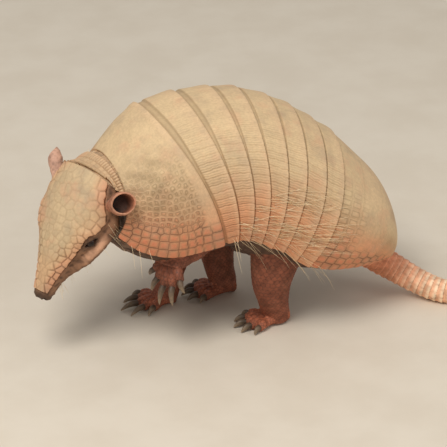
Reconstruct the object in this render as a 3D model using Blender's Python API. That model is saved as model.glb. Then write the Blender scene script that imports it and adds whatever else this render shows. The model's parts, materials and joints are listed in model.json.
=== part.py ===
"""A six-banded armadillo at life size: back arched, head bent down to feed, left fore paw raised.

Units are metres, +Z is up and the floor is z = 0. The animal faces -X, with its left side toward -Y.
Carapace, torso and neck are laid out straight, and bend() then curves the front of the spine to the left.
CENTRE is the point of the floor under the middle of the animal, which becomes the origin.
"""

import math
import random

import bmesh
import bpy
from mathutils import Matrix, Vector

CENTRE = Vector((0.0523, -0.0018, 0.0))
SEED = 6
GAP = 0.0004
WELD = 0.000002
SLOPE_STEP = 0.01
FLOOR_BLOCK = 1.2

BEND_START_X = 0.030
BEND_END_X = -0.095
BEND_ANGLE = math.radians(13)

# Carapace, cut across the body: station, top (x, z), lower edge (x, z), half width.
# Station 0 is the front rim, 1 to 8 are the rear edges of the shoulder shield and of the seven bands,
# and 13 is the margin over the tail.
CARAPACE = (
    (0.0, -0.143, 0.190, -0.150, 0.127, 0.051),
    (0.4, -0.125, 0.209, -0.129, 0.111, 0.063),
    (0.7, -0.113, 0.219, -0.097, 0.104, 0.074),
    (1.0, -0.098, 0.226, -0.048, 0.112, 0.082),
    (2.0, -0.061, 0.231, -0.034, 0.115, 0.085),
    (3.0, -0.027, 0.230, -0.022, 0.114, 0.086),
    (4.0, -0.002, 0.226, -0.008, 0.109, 0.086),
    (5.0, 0.026, 0.215, 0.004, 0.102, 0.085),
    (6.0, 0.048, 0.203, 0.018, 0.096, 0.084),
    (7.0, 0.069, 0.188, 0.032, 0.084, 0.082),
    (8.0, 0.088, 0.173, 0.046, 0.075, 0.079),
    (9.0, 0.110, 0.150, 0.066, 0.067, 0.074),
    (10.0, 0.129, 0.128, 0.086, 0.062, 0.066),
    (11.0, 0.141, 0.105, 0.105, 0.058, 0.056),
    (12.0, 0.146, 0.082, 0.120, 0.054, 0.044),
    (13.0, 0.142, 0.058, 0.128, 0.050, 0.031),
)
EDGE_ANGLE = math.radians(114)
FLANK_BOW = 0.005
BAND_COUNT = 7
LAST_BAND_LINE = 8.0
REAR_MARGIN = 13.0

SHELL_THICKNESS = 0.0032
SCUTE_RISE = 0.0008
SCUTE_GROOVE = 0.0010
BAND_LIFT = 0.0014
STRIP_DROP = 0.0014
STATION_GAP = 0.035
SHIELD_COLUMNS = 20
SHOULDER_ROWS = 5
PELVIC_ROWS = 7
BAND_STRIP = 0.16
SCUTE_POINT = 0.16
SCUTE_JITTER = 0.05
SHELL_CLEARANCE = 0.0026
EDGE_CLEARANCE = math.radians(0.35)

# Belly: station, depth below the carapace's lower edge.
BELLY = (
    (0.0, 0.013),
    (1.0, 0.032),
    (3.0, 0.042),
    (5.0, 0.038),
    (7.0, 0.028),
    (9.0, 0.020),
    (11.0, 0.018),
    (13.0, 0.010),
)
BELLY_STEPS = 7
BELLY_FULLNESS = 0.6
TORSO_FRONT = 0.35
TORSO_REAR = 12.97
TORSO_ROOM_OVERRUN = 0.012

# Head, in its own frame: station, top (behind nose, up), underside (behind nose, up), half width.
HEAD = (
    (0.0, 0.0005, -0.0035, 0.0015, -0.0125, 0.0065),
    (1.0, 0.0040, 0.0000, 0.0050, -0.0155, 0.0092),
    (2.0, 0.0140, 0.0025, 0.0140, -0.0175, 0.0112),
    (3.0, 0.0300, 0.0060, 0.0280, -0.0210, 0.0150),
    (4.0, 0.0480, 0.0095, 0.0440, -0.0255, 0.0215),
    (5.0, 0.0640, 0.0120, 0.0570, -0.0300, 0.0290),
    (6.0, 0.0780, 0.0130, 0.0700, -0.0330, 0.0345),
    (7.0, 0.0950, 0.0130, 0.0830, -0.0350, 0.0375),
    (8.0, 0.1130, 0.0110, 0.0950, -0.0355, 0.0380),
    (9.0, 0.1310, 0.0060, 0.1070, -0.0350, 0.0355),
)
HEAD_PITCH = math.radians(61)
HEAD_YAW = math.radians(28)
HEAD_ROLL = math.radians(8)
HEAD_NOSE = Vector((-0.2140, -0.0625, 0.0675))

# Head shield: head station, angle of its edge from the middle of the forehead.
HEAD_SHIELD = (
    (1.5, math.radians(56)),
    (3.0, math.radians(70)),
    (4.0, math.radians(73)),
    (5.0, math.radians(67)),
    (5.7, math.radians(63)),
    (6.4, math.radians(76)),
    (7.2, math.radians(82)),
    (7.8, math.radians(65)),
    (8.4, math.radians(57)),
    (9.0, math.radians(52)),
)
HEAD_SHIELD_FRONT = 1.5
HEAD_SHIELD_REAR = 8.95
HEAD_BED_STEPS = (0.16, 0.04)
HEAD_ROOM_OVERRUN = 0.03
SHIELD_ROOM_OVERRUN = 0.05
HEAD_SHIELD_THICKNESS = 0.0022
HEAD_SHIELD_ROWS = 9
HEAD_SHIELD_COLUMNS = 6
HEAD_SCUTE_RISE = 0.0006
SHIELD_STEP = math.radians(3.0)
HEAD_BACK = 9.0
SNOUT_STATIONS = (0.0, 0.4, 0.9)
HEAD_LOW_STEPS = 5

EYE_STATION = 5.55
EYE_ANGLE = math.radians(82)
EYE_RADIUS = 0.0046
EYE_DEPTH = 0.0022
EYE_SEGMENTS = 14
EYE_RINGS = 8
LID_RADIUS = 0.0047
LID_FLATNESS = 0.72
LID_THICKNESS = 0.0017
LID_HEIGHT = 0.0020
LID_SIDES = 14
LID_RING = 6

# Mouth: head station and angle from the middle of the forehead, from one corner to under the nose.
MOUTH_GROOVE = 0.0009
MOUTH = (
    (4.4, math.radians(112)),
    (3.4, math.radians(117)),
    (2.5, math.radians(124)),
    (1.7, math.radians(136)),
    (1.3, math.radians(158)),
    (1.25, math.radians(180)),
)
NOSTRIL_STATION = 0.25
NOSTRIL_ANGLE = math.radians(55)
NOSTRIL_RADIUS = 0.0017
NOSTRIL_TAPER = 0.6
NOSTRIL_DEPTH = 0.0040
NOSTRIL_SIDES = 10
NOSTRIL_COURSE = (1.0, -0.25, -0.1)

EAR_ANGLE = math.radians(80)
EAR_LENGTH = 0.036
EAR_NOTCH = 0.024
EAR_BASE_RADIUS = 0.0050
EAR_WALL = 0.0015
EAR_SINK = 0.003
EAR_RIM_CURVE = 0.8
EAR_FLARE = 1.6
EAR_CLOSE_FROM = 0.55
EAR_SIDES = 16
EAR_OUTSIDE = (0.0, 0.25, 0.5, 0.75, 1.0)
EAR_INSIDE = (0.985, 0.75, 0.5)
EAR_CLEARANCE = 0.0009

# Ears: name, side, head station, radius of the mouth, how far the tip bends in,
# axis and long wall's side in the head's frame.
EARS = (
    ("ear_left", -1, 8.1, 0.0112, 1.0, (0.36, -0.82, 0.45), (0.56, -0.29, -0.77)),
    ("ear_right", 1, 8.15, 0.0072, 2.8, (0.66, 0.69, -0.26), (0.60, -0.35, -0.60)),
)

NECK_SIDES = 16
NECK_FLANK = 1.5
NECK_RISE = 0.026
NECK_HALF_HEIGHT = 0.045
NECK_HALF_WIDTH = 0.054
NECK_FIT_HEIGHT = 0.95
NECK_FIT_WIDTH = 0.96
NECK_FRONT = -0.12
NECK_REAR = 1.15
NECK_RINGS = 7
NUCHAL_COLUMNS = 12
NUCHAL_THICKNESS = 0.0024
NUCHAL_FRONT = 0.14
NUCHAL_REAR = 0.57
NUCHAL_EDGE = math.radians(58)

# Tail: path (x, y, z) and radius, from its root to its tip.
TAIL = (
    (0.102, 0.003, 0.0600, 0.0138),
    (0.128, 0.000, 0.0405, 0.0138),
    (0.150, -0.008, 0.027, 0.0130),
    (0.170, -0.021, 0.017, 0.0120),
    (0.190, -0.034, 0.0112, 0.0112),
    (0.215, -0.046, 0.0096, 0.0098),
    (0.245, -0.052, 0.0079, 0.0081),
    (0.280, -0.050, 0.0060, 0.0062),
    (0.318, -0.043, 0.0038, 0.0040),
)
TAIL_RINGS = 14
TAIL_COLUMNS = 8
TAIL_LAP = 0.0007
TAIL_GROOVE = 0.0007
TAIL_RISE = 0.0005

# Limbs: centre (x, y, z), half width across, half depth fore and aft. Each limb has its own rows.
# The left fore limb is folded up under the rim of the shell, and its paw hangs from it.
FORE_LEFT = (
    (-0.046, -0.046, 0.124, 0.0180, 0.0200),
    (-0.056, -0.055, 0.113, 0.0165, 0.0175),
    (-0.065, -0.060, 0.104, 0.0150, 0.0150),
    (-0.073, -0.062, 0.099, 0.0138, 0.0128),
    (-0.080, -0.062, 0.093, 0.0130, 0.0108),
)
FORE_RIGHT = (
    (-0.046, 0.026, 0.120, 0.0180, 0.0220),
    (-0.052, 0.030, 0.092, 0.0175, 0.0210),
    (-0.058, 0.031, 0.062, 0.0155, 0.0175),
    (-0.067, 0.029, 0.034, 0.0130, 0.0138),
    (-0.072, 0.027, 0.016, 0.0132, 0.0135),
    (-0.076, 0.026, 0.004, 0.0130, 0.0140),
)
HIND_LEFT = (
    (0.026, -0.044, 0.108, 0.0200, 0.0280),
    (0.019, -0.049, 0.080, 0.0185, 0.0250),
    (0.015, -0.049, 0.052, 0.0155, 0.0195),
    (0.018, -0.043, 0.028, 0.0128, 0.0150),
    (0.021, -0.038, 0.012, 0.0120, 0.0138),
    (0.020, -0.037, 0.004, 0.0115, 0.0145),
)
HIND_RIGHT = (
    (0.010, 0.040, 0.108, 0.0200, 0.0260),
    (-0.008, 0.044, 0.080, 0.0185, 0.0230),
    (-0.018, 0.041, 0.052, 0.0150, 0.0185),
    (-0.017, 0.037, 0.028, 0.0128, 0.0148),
    (-0.014, 0.034, 0.012, 0.0120, 0.0135),
    (-0.016, 0.033, 0.004, 0.0115, 0.0142),
)
LIMB_SIDES = 12
UPWARD = Vector((0, 0, 1))
FORWARD = Vector((-1, 0, 0))

# Soles: rows like a limb's, from the heel to the ball of the foot.
FORE_SOLE_LEFT = (
    (-0.076, -0.057, 0.0070, 0.0112, 0.0080),
    (-0.086, -0.065, 0.0065, 0.0130, 0.0072),
)
FORE_SOLE_RIGHT = (
    (-0.070, 0.026, 0.0070, 0.0105, 0.0075),
    (-0.083, 0.024, 0.0065, 0.0130, 0.0072),
)
HIND_SOLE_LEFT = (
    (0.034, -0.035, 0.0080, 0.0080, 0.0072),
    (0.021, -0.037, 0.0080, 0.0105, 0.0080),
    (0.009, -0.039, 0.0065, 0.0130, 0.0070),
)
HIND_SOLE_RIGHT = (
    (-0.002, 0.034, 0.0080, 0.0080, 0.0072),
    (-0.015, 0.033, 0.0080, 0.0105, 0.0080),
    (-0.026, 0.032, 0.0065, 0.0130, 0.0070),
)

# Toes: angle from the foot's own direction, length of the toe, claw length.
FORE_TOES = (
    (math.radians(34), 0.013, 0.011),
    (math.radians(15), 0.019, 0.017),
    (math.radians(-2), 0.020, 0.018),
    (math.radians(-20), 0.016, 0.014),
    (math.radians(-42), 0.011, 0.009),
)
HIND_TOES = (
    (math.radians(34), 0.013, 0.008),
    (math.radians(14), 0.017, 0.011),
    (math.radians(-2), 0.018, 0.012),
    (math.radians(-18), 0.016, 0.010),
    (math.radians(-38), 0.011, 0.007),
)
TOE_RADIUS = 0.0048
TOE_HEIGHT = 0.0048
TOE_KNUCKLE = 0.0012
TOE_SPREAD = 0.014
TOE_SINK = 0.004
TOE_ROOT_SHARE = 0.9
TOE_END_SHARE = 0.82
TOE_SIDES = 8
CLAW_RADIUS = 0.0033
CLAW_FLATNESS = 0.85
CLAW_MIDDLE = (0.65, 0.75)
CLAW_TIP = 0.16
CLAW_SIDES = 6
CLAW_TIP_HEIGHT = 0.0010
CLAW_ARCH = 0.0020

# Paws: how high the ball of the foot is lifted, and how far the toes point down from level.
ON_THE_FLOOR = (0.0, 0.0)
RAISED_PAW = (0.0825, math.radians(60))
LEGS = (
    ("leg_front_left", FORE_LEFT, (-0.78, -0.62), FORE_TOES, FORE_SOLE_LEFT, RAISED_PAW),
    ("leg_front_right", FORE_RIGHT, (-1.0, -0.30), FORE_TOES, FORE_SOLE_RIGHT, ON_THE_FLOOR),
    ("leg_hind_left", HIND_LEFT, (-1.0, -0.18), HIND_TOES, HIND_SOLE_LEFT, ON_THE_FLOOR),
    ("leg_hind_right", HIND_RIGHT, (-1.0, -0.06), HIND_TOES, HIND_SOLE_RIGHT, ON_THE_FLOOR),
)


def between(rows, at):
    """Values of a table of rows at a station, on a smooth curve through the rows."""
    last = len(rows) - 1
    place = 0
    while place < last - 1 and at > rows[place + 1][0]:
        place += 1
    low, high = rows[place], rows[place + 1]
    before, after = rows[max(place - 1, 0)], rows[min(place + 2, last)]
    span = high[0] - low[0]
    step = (at - low[0]) / span
    values = []
    for column in range(1, len(low)):
        slope_low = (high[column] - before[column]) / (high[0] - before[0]) * span
        slope_high = (after[column] - low[column]) / (after[0] - low[0]) * span
        values.append(
            low[column] * (2 * step**3 - 3 * step**2 + 1)
            + high[column] * (3 * step**2 - 2 * step**3)
            + slope_low * (step**3 - 2 * step**2 + step)
            + slope_high * (step**3 - step**2)
        )
    return values


def bend(point):
    """Curves the straight body: ahead of BEND_START_X the spine turns to the left."""
    radius = (BEND_START_X - BEND_END_X) / BEND_ANGLE
    turned = (BEND_START_X - point.x) / (BEND_START_X - BEND_END_X)
    turn = BEND_ANGLE * min(max(turned, 0.0), 1.0)
    behind = max(point.x - BEND_START_X, 0.0)
    beyond = max(BEND_END_X - point.x, 0.0)
    x = BEND_START_X + behind - radius * math.sin(turn) - beyond * math.cos(turn)
    y = -radius * (1 - math.cos(turn)) - beyond * math.sin(turn)
    return Vector((x - point.y * math.sin(turn), y + point.y * math.cos(turn), point.z))


def carapace(station, angle):
    """Point of the carapace's base surface, by station and angle down from the back."""
    top_x, top_z, edge_x, edge_z, half_width = between(CARAPACE, station)
    drop = (1 - math.cos(angle)) / (1 - math.cos(EDGE_ANGLE))
    bow = FLANK_BOW * math.sin(math.pi * min(drop, 1.0))
    return bend(
        Vector(
            (
                top_x + (edge_x - top_x) * drop + bow,
                half_width * math.sin(angle),
                top_z + (edge_z - top_z) * drop,
            )
        )
    )


def head_frame():
    """Matrix from the head's frame (behind the nose, right, up) to the world's."""
    ahead = Vector(
        (
            -math.cos(HEAD_PITCH) * math.cos(HEAD_YAW),
            -math.cos(HEAD_PITCH) * math.sin(HEAD_YAW),
            -math.sin(HEAD_PITCH),
        )
    )
    right = Vector((-math.sin(HEAD_YAW), math.cos(HEAD_YAW), 0.0))
    up = right.cross(ahead)
    turn = Matrix((-ahead, right, up)).transposed() @ Matrix.Rotation(HEAD_ROLL, 3, "X")
    return Matrix.Translation(HEAD_NOSE) @ turn.to_4x4()


HEAD_TO_WORLD = head_frame()


def head_surface(station, angle):
    """Point of the head's outer surface, by station and angle from the middle of the forehead."""
    top_s, top_u, low_s, low_u, half_width = between(HEAD, station)
    middle = Vector((top_s + low_s, 0.0, top_u + low_u)) / 2
    half_height = Vector((top_s - low_s, 0.0, top_u - low_u)) / 2
    side = Vector((0.0, half_width, 0.0))
    return HEAD_TO_WORLD @ (middle + half_height * math.cos(angle) + side * math.sin(angle))


def neck_ends():
    """Centre, up and right half axes of the neck at the torso and at the head."""
    top = carapace(TORSO_FRONT, 0.0)
    left, right = carapace(TORSO_FRONT, -NECK_FLANK), carapace(TORSO_FRONT, NECK_FLANK)
    edge = (carapace(TORSO_FRONT, -EDGE_ANGLE) + carapace(TORSO_FRONT, EDGE_ANGLE)) / 2
    up = (top - edge).normalized()
    near = (edge + up * NECK_RISE, up * NECK_HALF_HEIGHT, (right - left).normalized() * NECK_HALF_WIDTH)
    head_top, head_low = head_surface(HEAD_BACK, 0.0), head_surface(HEAD_BACK, math.pi)
    middle = (head_top + head_low) / 2
    across = (head_surface(HEAD_BACK, math.pi / 2) - head_surface(HEAD_BACK, -math.pi / 2)) / 2
    far = (middle, (head_top - head_low) / 2 * NECK_FIT_HEIGHT, across * NECK_FIT_WIDTH)
    return near, far


def neck_surface(station, angle):
    """Point of the neck, from the head (0) to the torso (1)."""
    far, near = neck_ends()
    blend = station * station * (3 - 2 * station)
    centre = near[0].lerp(far[0], station)
    up = near[1].lerp(far[1], blend)
    across = near[2].lerp(far[2], blend)
    return centre + up * math.cos(angle) + across * math.sin(angle)


def tail_surface(station, angle):
    """Point of the tail's surface, from its root (0) to its tip (1)."""
    place = station * (len(TAIL) - 1)
    rows = [(index, *row) for index, row in enumerate(TAIL)]
    x, y, z, radius = between(rows, place)
    ahead = Vector(between(rows, place + SLOPE_STEP)[:3]) - Vector((x, y, z))
    side = ahead.cross(UPWARD).normalized()
    up = side.cross(ahead).normalized()
    return Vector((x, y, z)) + (up * math.cos(angle) - side * math.sin(angle)) * radius


def lifted(surface, station, angle, lift):
    """Point of a surface, moved out along its normal."""
    point = surface(station, angle)
    along = surface(station + SLOPE_STEP, angle) - surface(station - SLOPE_STEP, angle)
    around = surface(station, angle + SLOPE_STEP) - surface(station, angle - SLOPE_STEP)
    return point + along.cross(around).normalized() * lift


def new_object(name, bm, collection, material=None):
    mesh = bpy.data.meshes.new(name)
    bmesh.ops.recalc_face_normals(bm, faces=bm.faces)
    bm.to_mesh(mesh)
    bm.free()
    made = bpy.data.objects.new(name, mesh)
    collection.objects.link(made)
    if material:
        made.data.materials.append(material)
    return made


def finish_material(name, colour, roughness):
    material = bpy.data.materials.new(name)
    material.use_nodes = True
    shader = material.node_tree.nodes["Principled BSDF"]
    shader.inputs["Base Color"].default_value = (*colour, 1.0)
    shader.inputs["Roughness"].default_value = roughness
    shader.inputs["Metallic"].default_value = 0.0
    return material


def loft(rings, bm=None):
    """Closed body through rings of points, with a fan over each end."""
    bm = bm or bmesh.new()
    loops = [[bm.verts.new(point) for point in ring] for ring in rings]
    count = len(loops[0])
    for low, high in zip(loops, loops[1:]):
        for index in range(count):
            after = (index + 1) % count
            bm.faces.new((low[index], low[after], high[after]))
            bm.faces.new((low[index], high[after], high[index]))
    for loop in (loops[0], loops[-1]):
        middle = sum((vert.co for vert in loop), Vector()) / count
        tip = bm.verts.new(middle)
        for index in range(count):
            bm.faces.new((loop[index], loop[(index + 1) % count], tip))
    return bm


def scute_columns(columns, staggered):
    """Places of a row's corners across the body, from 0 to 1."""
    if not staggered:
        return [round(index / columns, 5) for index in range(columns + 1)]
    return [0.0, *[round((index + 0.5) / columns, 5) for index in range(columns)], 1.0]


def plated_shell(
    surface, lines, half_angle, columns, thickness, rise, staggered=True, lifts=None, bare_rows=(),
):
    """Curved shell of plates: rows of scutes between lines, each raised from a groove round it.

    half_angle gives the angle of the shell's edge at a station, and lifts each line's height.
    A staggered shell has an odd number of rows, so that both its ends have the same corners.
    """
    bm = bmesh.new()
    draw = random.Random(SEED)
    rows = len(lines) - 1
    lifts = lifts or [0.0] * (rows + 1)
    corners = [scute_columns(columns, staggered and row % 2 == 1) for row in range(rows)]
    plain = scute_columns(columns, False)

    def spot(line, place):
        """Station and angle of a corner: hexagons have their free corners pushed along the body."""
        station = lines[line]
        jitter = 0.0
        if staggered and 0 < line < rows and 0 < place < 1:
            ahead = place in corners[line - 1]
            reach = lines[line] - lines[line - 1] if ahead else lines[line] - lines[line + 1]
            station -= SCUTE_POINT * reach
            station += draw.uniform(-1, 1) * SCUTE_JITTER * (lines[line + 1] - lines[line])
            jitter = draw.uniform(-1, 1) * SCUTE_JITTER * 2 / columns
        return station, (2 * place - 1 + jitter) * half_angle(station)

    outer, inner = {}, {}
    for line in range(rows + 1):
        touching = corners[max(line - 1, 0)] + corners[min(line, rows - 1)]
        for place in sorted(set(touching)):
            outer[line, place] = bm.verts.new(lifted(surface, *spot(line, place), lifts[line]))
    inner_lines = [line for line in range(rows + 1) if line in (0, rows) or line - 1 not in bare_rows]
    for line in inner_lines:
        for place in plain:
            angle = (2 * place - 1) * half_angle(lines[line])
            inner[line, place] = bm.verts.new(lifted(surface, lines[line], angle, -thickness))
    plates = []
    for row in range(rows):
        for left, right in zip(corners[row], corners[row][1:]):
            ahead = [place for line, place in outer if line == row and left <= place <= right]
            behind = [place for line, place in outer if line == row + 1 and left <= place <= right]
            ring = [outer[row, place] for place in ahead]
            ring += [outer[row + 1, place] for place in reversed(behind)]
            face = bm.faces.new(ring)
            if row not in bare_rows:
                plates.append(face)
    for low, high in zip(inner_lines, inner_lines[1:]):
        for left, right in zip(plain, plain[1:]):
            bm.faces.new((inner[low, left], inner[low, right], inner[high, right]))
            bm.faces.new((inner[low, left], inner[high, right], inner[high, left]))
        for place in (0.0, 1.0):
            rim = [outer[line, place] for line in range(low, high + 1)]
            bm.faces.new((*rim, inner[high, place], inner[low, place]))
    for line in (0, rows):
        for left, right in zip(plain, plain[1:]):
            bm.faces.new((outer[line, left], outer[line, right], inner[line, right], inner[line, left]))
    bmesh.ops.recalc_face_normals(bm, faces=bm.faces)
    if rise:
        bmesh.ops.inset_individual(bm, faces=plates, thickness=SCUTE_GROOVE, depth=rise)
    return bm


def spread(first, last, steps):
    """Evenly spaced values from first to last."""
    return [first + (last - first) * index / steps for index in range(steps + 1)]


def carapace_edge(station):
    return EDGE_ANGLE


def head_shield_edge(station):
    return between(HEAD_SHIELD, station)[0]


def torso_rings(stations, lift, belly_drop):
    """Rings of the torso: the carapace's arc, lifted, closed by the belly below it."""
    rings = []
    for station in stations:
        angles = spread(-EDGE_ANGLE, EDGE_ANGLE, SHIELD_COLUMNS)
        ring = [lifted(carapace, station, angle, lift) for angle in angles]
        depth = between(BELLY, station)[0] + belly_drop
        top, edge = carapace(station, 0.0), (ring[0] + ring[-1]) / 2
        down = (edge - top).normalized()
        for step in range(1, BELLY_STEPS):
            across = step / BELLY_STEPS
            point = ring[SHIELD_COLUMNS].lerp(ring[0], across)
            ring.append(point + down * depth * math.sin(math.pi * across) ** BELLY_FULLNESS)
        rings.append(ring)
    return rings


def torso_stations(front, rear):
    inner = spread(TORSO_FRONT, 1.0, 3)[1:] + [2.0, 3.0, 4.0, 5.0, 6.0, 7.0]
    inner += spread(LAST_BAND_LINE, REAR_MARGIN, PELVIC_ROWS)[:-1]
    return [front, *inner, rear]


def limb_rings(rows, ahead=FORWARD, sides=LIMB_SIDES):
    """Rings of a limb through its rows of centre, half width and half depth."""
    rings = []
    for index, row in enumerate(rows):
        low, high = rows[max(index - 1, 0)], rows[min(index + 1, len(rows) - 1)]
        along = (Vector(high[:3]) - Vector(low[:3])).normalized()
        across = along.cross(ahead).normalized()
        deep = across.cross(along).normalized()
        ring = []
        for side in range(sides):
            turn = 2 * math.pi * side / sides
            offset = across * row[3] * math.cos(turn) + deep * row[4] * math.sin(turn)
            ring.append(Vector(row[:3]) + offset)
        rings.append(ring)
    return rings


def applied(target):
    """Bakes an object's modifiers into its mesh."""
    graph = bpy.context.evaluated_depsgraph_get()
    mesh = bpy.data.meshes.new_from_object(target.evaluated_get(graph))
    target.modifiers.clear()
    target.data = mesh
    return target


def keep_largest(target):
    """Keeps only the largest closed surface of an object."""
    bm = bmesh.new()
    bm.from_mesh(target.data)
    bmesh.ops.remove_doubles(bm, verts=bm.verts, dist=WELD)
    bmesh.ops.dissolve_degenerate(bm, edges=bm.edges, dist=WELD)
    left, pieces = set(bm.faces), []
    while left:
        queue = [left.pop()]
        found = set(queue)
        while queue:
            for edge in queue.pop().edges:
                if len(edge.link_faces) == 2:
                    fresh = [face for face in edge.link_faces if face in left]
                    left.difference_update(fresh)
                    found.update(fresh)
                    queue.extend(fresh)
        pieces.append(found)
    pieces.sort(key=len)
    bmesh.ops.delete(bm, geom=[face for piece in pieces[:-1] for face in piece], context="FACES")
    bm.to_mesh(target.data)
    bm.free()


def fuse(target, pieces, cutters=()):
    """Joins closed pieces to an object by one union, then cuts it."""
    if pieces:
        group = bpy.data.collections.new("pieces")
        for piece in pieces:
            group.objects.link(piece)
        join = target.modifiers.new("join", "BOOLEAN")
        join.operation = "UNION"
        join.operand_type = "COLLECTION"
        join.collection = group
        applied(target)
        for piece in pieces:
            bpy.data.objects.remove(piece)
        bpy.data.collections.remove(group)
    for cutter in cutters:
        cut = target.modifiers.new("cut", "BOOLEAN")
        cut.operation = "DIFFERENCE"
        cut.object = cutter
    if cutters:
        applied(target)
    keep_largest(target)
    return target


def build_carapace(animal):
    horn = finish_material("carapace", (0.62, 0.42, 0.27), 0.62)
    lines = spread(0.0, 1.0 - STATION_GAP, SHOULDER_ROWS)
    shield = plated_shell(
        carapace, lines, carapace_edge, SHIELD_COLUMNS, SHELL_THICKNESS, SCUTE_RISE,
        lifts=[0.0] * SHOULDER_ROWS + [BAND_LIFT],
    )
    new_object("shoulder_shield", shield, animal, horn)
    for band in range(1, BAND_COUNT + 1):
        lines = [band, band + BAND_STRIP, band + 1 - STATION_GAP]
        plates = plated_shell(
            carapace, lines, carapace_edge, SHIELD_COLUMNS, SHELL_THICKNESS, SCUTE_RISE,
            staggered=False, lifts=[-STRIP_DROP, 0.0, BAND_LIFT], bare_rows=(0,),
        )
        new_object(f"band_{band}", plates, animal, horn)
    lines = spread(LAST_BAND_LINE, REAR_MARGIN, PELVIC_ROWS)
    pelvis = plated_shell(carapace, lines, carapace_edge, SHIELD_COLUMNS, SHELL_THICKNESS, SCUTE_RISE)
    new_object("pelvic_shield", pelvis, animal, horn)


def build_torso(animal, guides):
    skin = finish_material("trunk_skin", (0.36, 0.25, 0.19), 0.75)
    bed = -SHELL_THICKNESS - GAP
    rings = torso_rings(torso_stations(TORSO_FRONT, TORSO_REAR), bed, 0.0)
    new_object("torso", loft(rings), animal, skin)
    lines = [-STATION_GAP, *torso_stations(TORSO_FRONT, TORSO_REAR)[1:-1], REAR_MARGIN + STATION_GAP]
    if len(lines) % 2:
        lines.insert(1, 0.0)
    shell_room = plated_shell(
        carapace, lines, lambda station: EDGE_ANGLE + EDGE_CLEARANCE, SHIELD_COLUMNS,
        SHELL_THICKNESS + GAP, 0.0, staggered=False, lifts=[SHELL_CLEARANCE] * len(lines),
    )
    shell_room = new_object("shell_room", shell_room, guides)
    room = torso_rings(torso_stations(TORSO_FRONT - TORSO_ROOM_OVERRUN, TORSO_REAR), bed + GAP, GAP)
    torso_room = new_object("torso_room", loft(room), guides)
    return [shell_room, torso_room]


def head_rings(lift):
    """Rings of the head, with the bed of the head shield sunk into its top."""
    bed = -HEAD_SHIELD_THICKNESS - GAP
    stations = [*SNOUT_STATIONS, *(HEAD_SHIELD_FRONT - step for step in HEAD_BED_STEPS)]
    stations += spread(HEAD_SHIELD_FRONT, HEAD_SHIELD_REAR, HEAD_SHIELD_ROWS)[1:-1] + [HEAD_BACK]
    if lift:
        stations[-1] += HEAD_ROOM_OVERRUN
    rings = []
    for station in stations:
        shielded = station > HEAD_SHIELD_FRONT - sum(HEAD_BED_STEPS) / 2
        edge = head_shield_edge(max(station, HEAD_SHIELD_FRONT))
        steps = spread(0.0, edge, HEAD_SHIELD_COLUMNS // 2)
        half = [(angle, bed if shielded else 0.0) for angle in steps]
        half.append((edge + SHIELD_STEP, bed if shielded else 0.0))
        half += [(angle, 0.0) for angle in spread(edge + 3 * SHIELD_STEP, math.pi, HEAD_LOW_STEPS)]
        ring = [lifted(head_surface, station, angle, drop + lift) for angle, drop in half]
        ring += [lifted(head_surface, station, -angle, drop + lift) for angle, drop in half[-2:0:-1]]
        rings.append(ring)
    return rings


def eye_centre(side):
    return lifted(head_surface, EYE_STATION, side * EYE_ANGLE, -EYE_DEPTH)


def eye_place(side):
    """Matrix from an eye's frame (along the lids, up, outward) to the world's."""
    centre = eye_centre(side)
    outward = (lifted(head_surface, EYE_STATION, side * EYE_ANGLE, 0.01) - centre).normalized()
    ahead = head_surface(EYE_STATION, side * EYE_ANGLE)
    along = head_surface(EYE_STATION + 0.2, side * EYE_ANGLE) - ahead
    up = outward.cross(along).normalized()
    turn = Matrix((up.cross(outward), up, outward)).transposed().to_4x4()
    return Matrix.Translation(centre) @ turn


def lid_ring(place):
    """Closed ring of the two lids, an oval of round section."""
    rings = []
    for step in range(LID_SIDES):
        angle = 2 * math.pi * step / LID_SIDES
        out = Vector((math.cos(angle), math.sin(angle), 0))
        middle = Vector((LID_RADIUS * out.x, LID_FLATNESS * LID_RADIUS * out.y, LID_HEIGHT))
        turns = [2 * math.pi * corner / LID_RING for corner in range(LID_RING)]
        section = [out * math.cos(turn) + UPWARD * math.sin(turn) for turn in turns]
        rings.append([place @ (middle + offset * LID_THICKNESS) for offset in section])
    lid = bmesh.new()
    loops = [[lid.verts.new(point) for point in ring] for ring in rings]
    for low, high in zip(loops, loops[1:] + loops[:1]):
        for corner in range(LID_RING):
            after = (corner + 1) % LID_RING
            lid.faces.new((low[corner], low[after], high[after], high[corner]))
    return lid


def eyeball(place, radius):
    ball = bmesh.new()
    bmesh.ops.create_uvsphere(
        ball, u_segments=EYE_SEGMENTS, v_segments=EYE_RINGS, radius=radius, matrix=place,
    )
    return ball


def nostril_cone(side):
    """Cutter of a nostril, which runs back and a little inward."""
    nostril = bmesh.new()
    spot = head_surface(NOSTRIL_STATION, side * NOSTRIL_ANGLE)
    behind, inward, down = NOSTRIL_COURSE
    course = HEAD_TO_WORLD.to_3x3() @ Vector((behind, inward * side, down)).normalized()
    place = Matrix.Translation(spot) @ course.to_track_quat("Z", "Y").to_matrix().to_4x4()
    bmesh.ops.create_cone(
        nostril, cap_ends=True, segments=NOSTRIL_SIDES, radius1=NOSTRIL_RADIUS,
        radius2=NOSTRIL_RADIUS * NOSTRIL_TAPER, depth=2 * NOSTRIL_DEPTH, matrix=place,
    )
    return nostril


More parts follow.
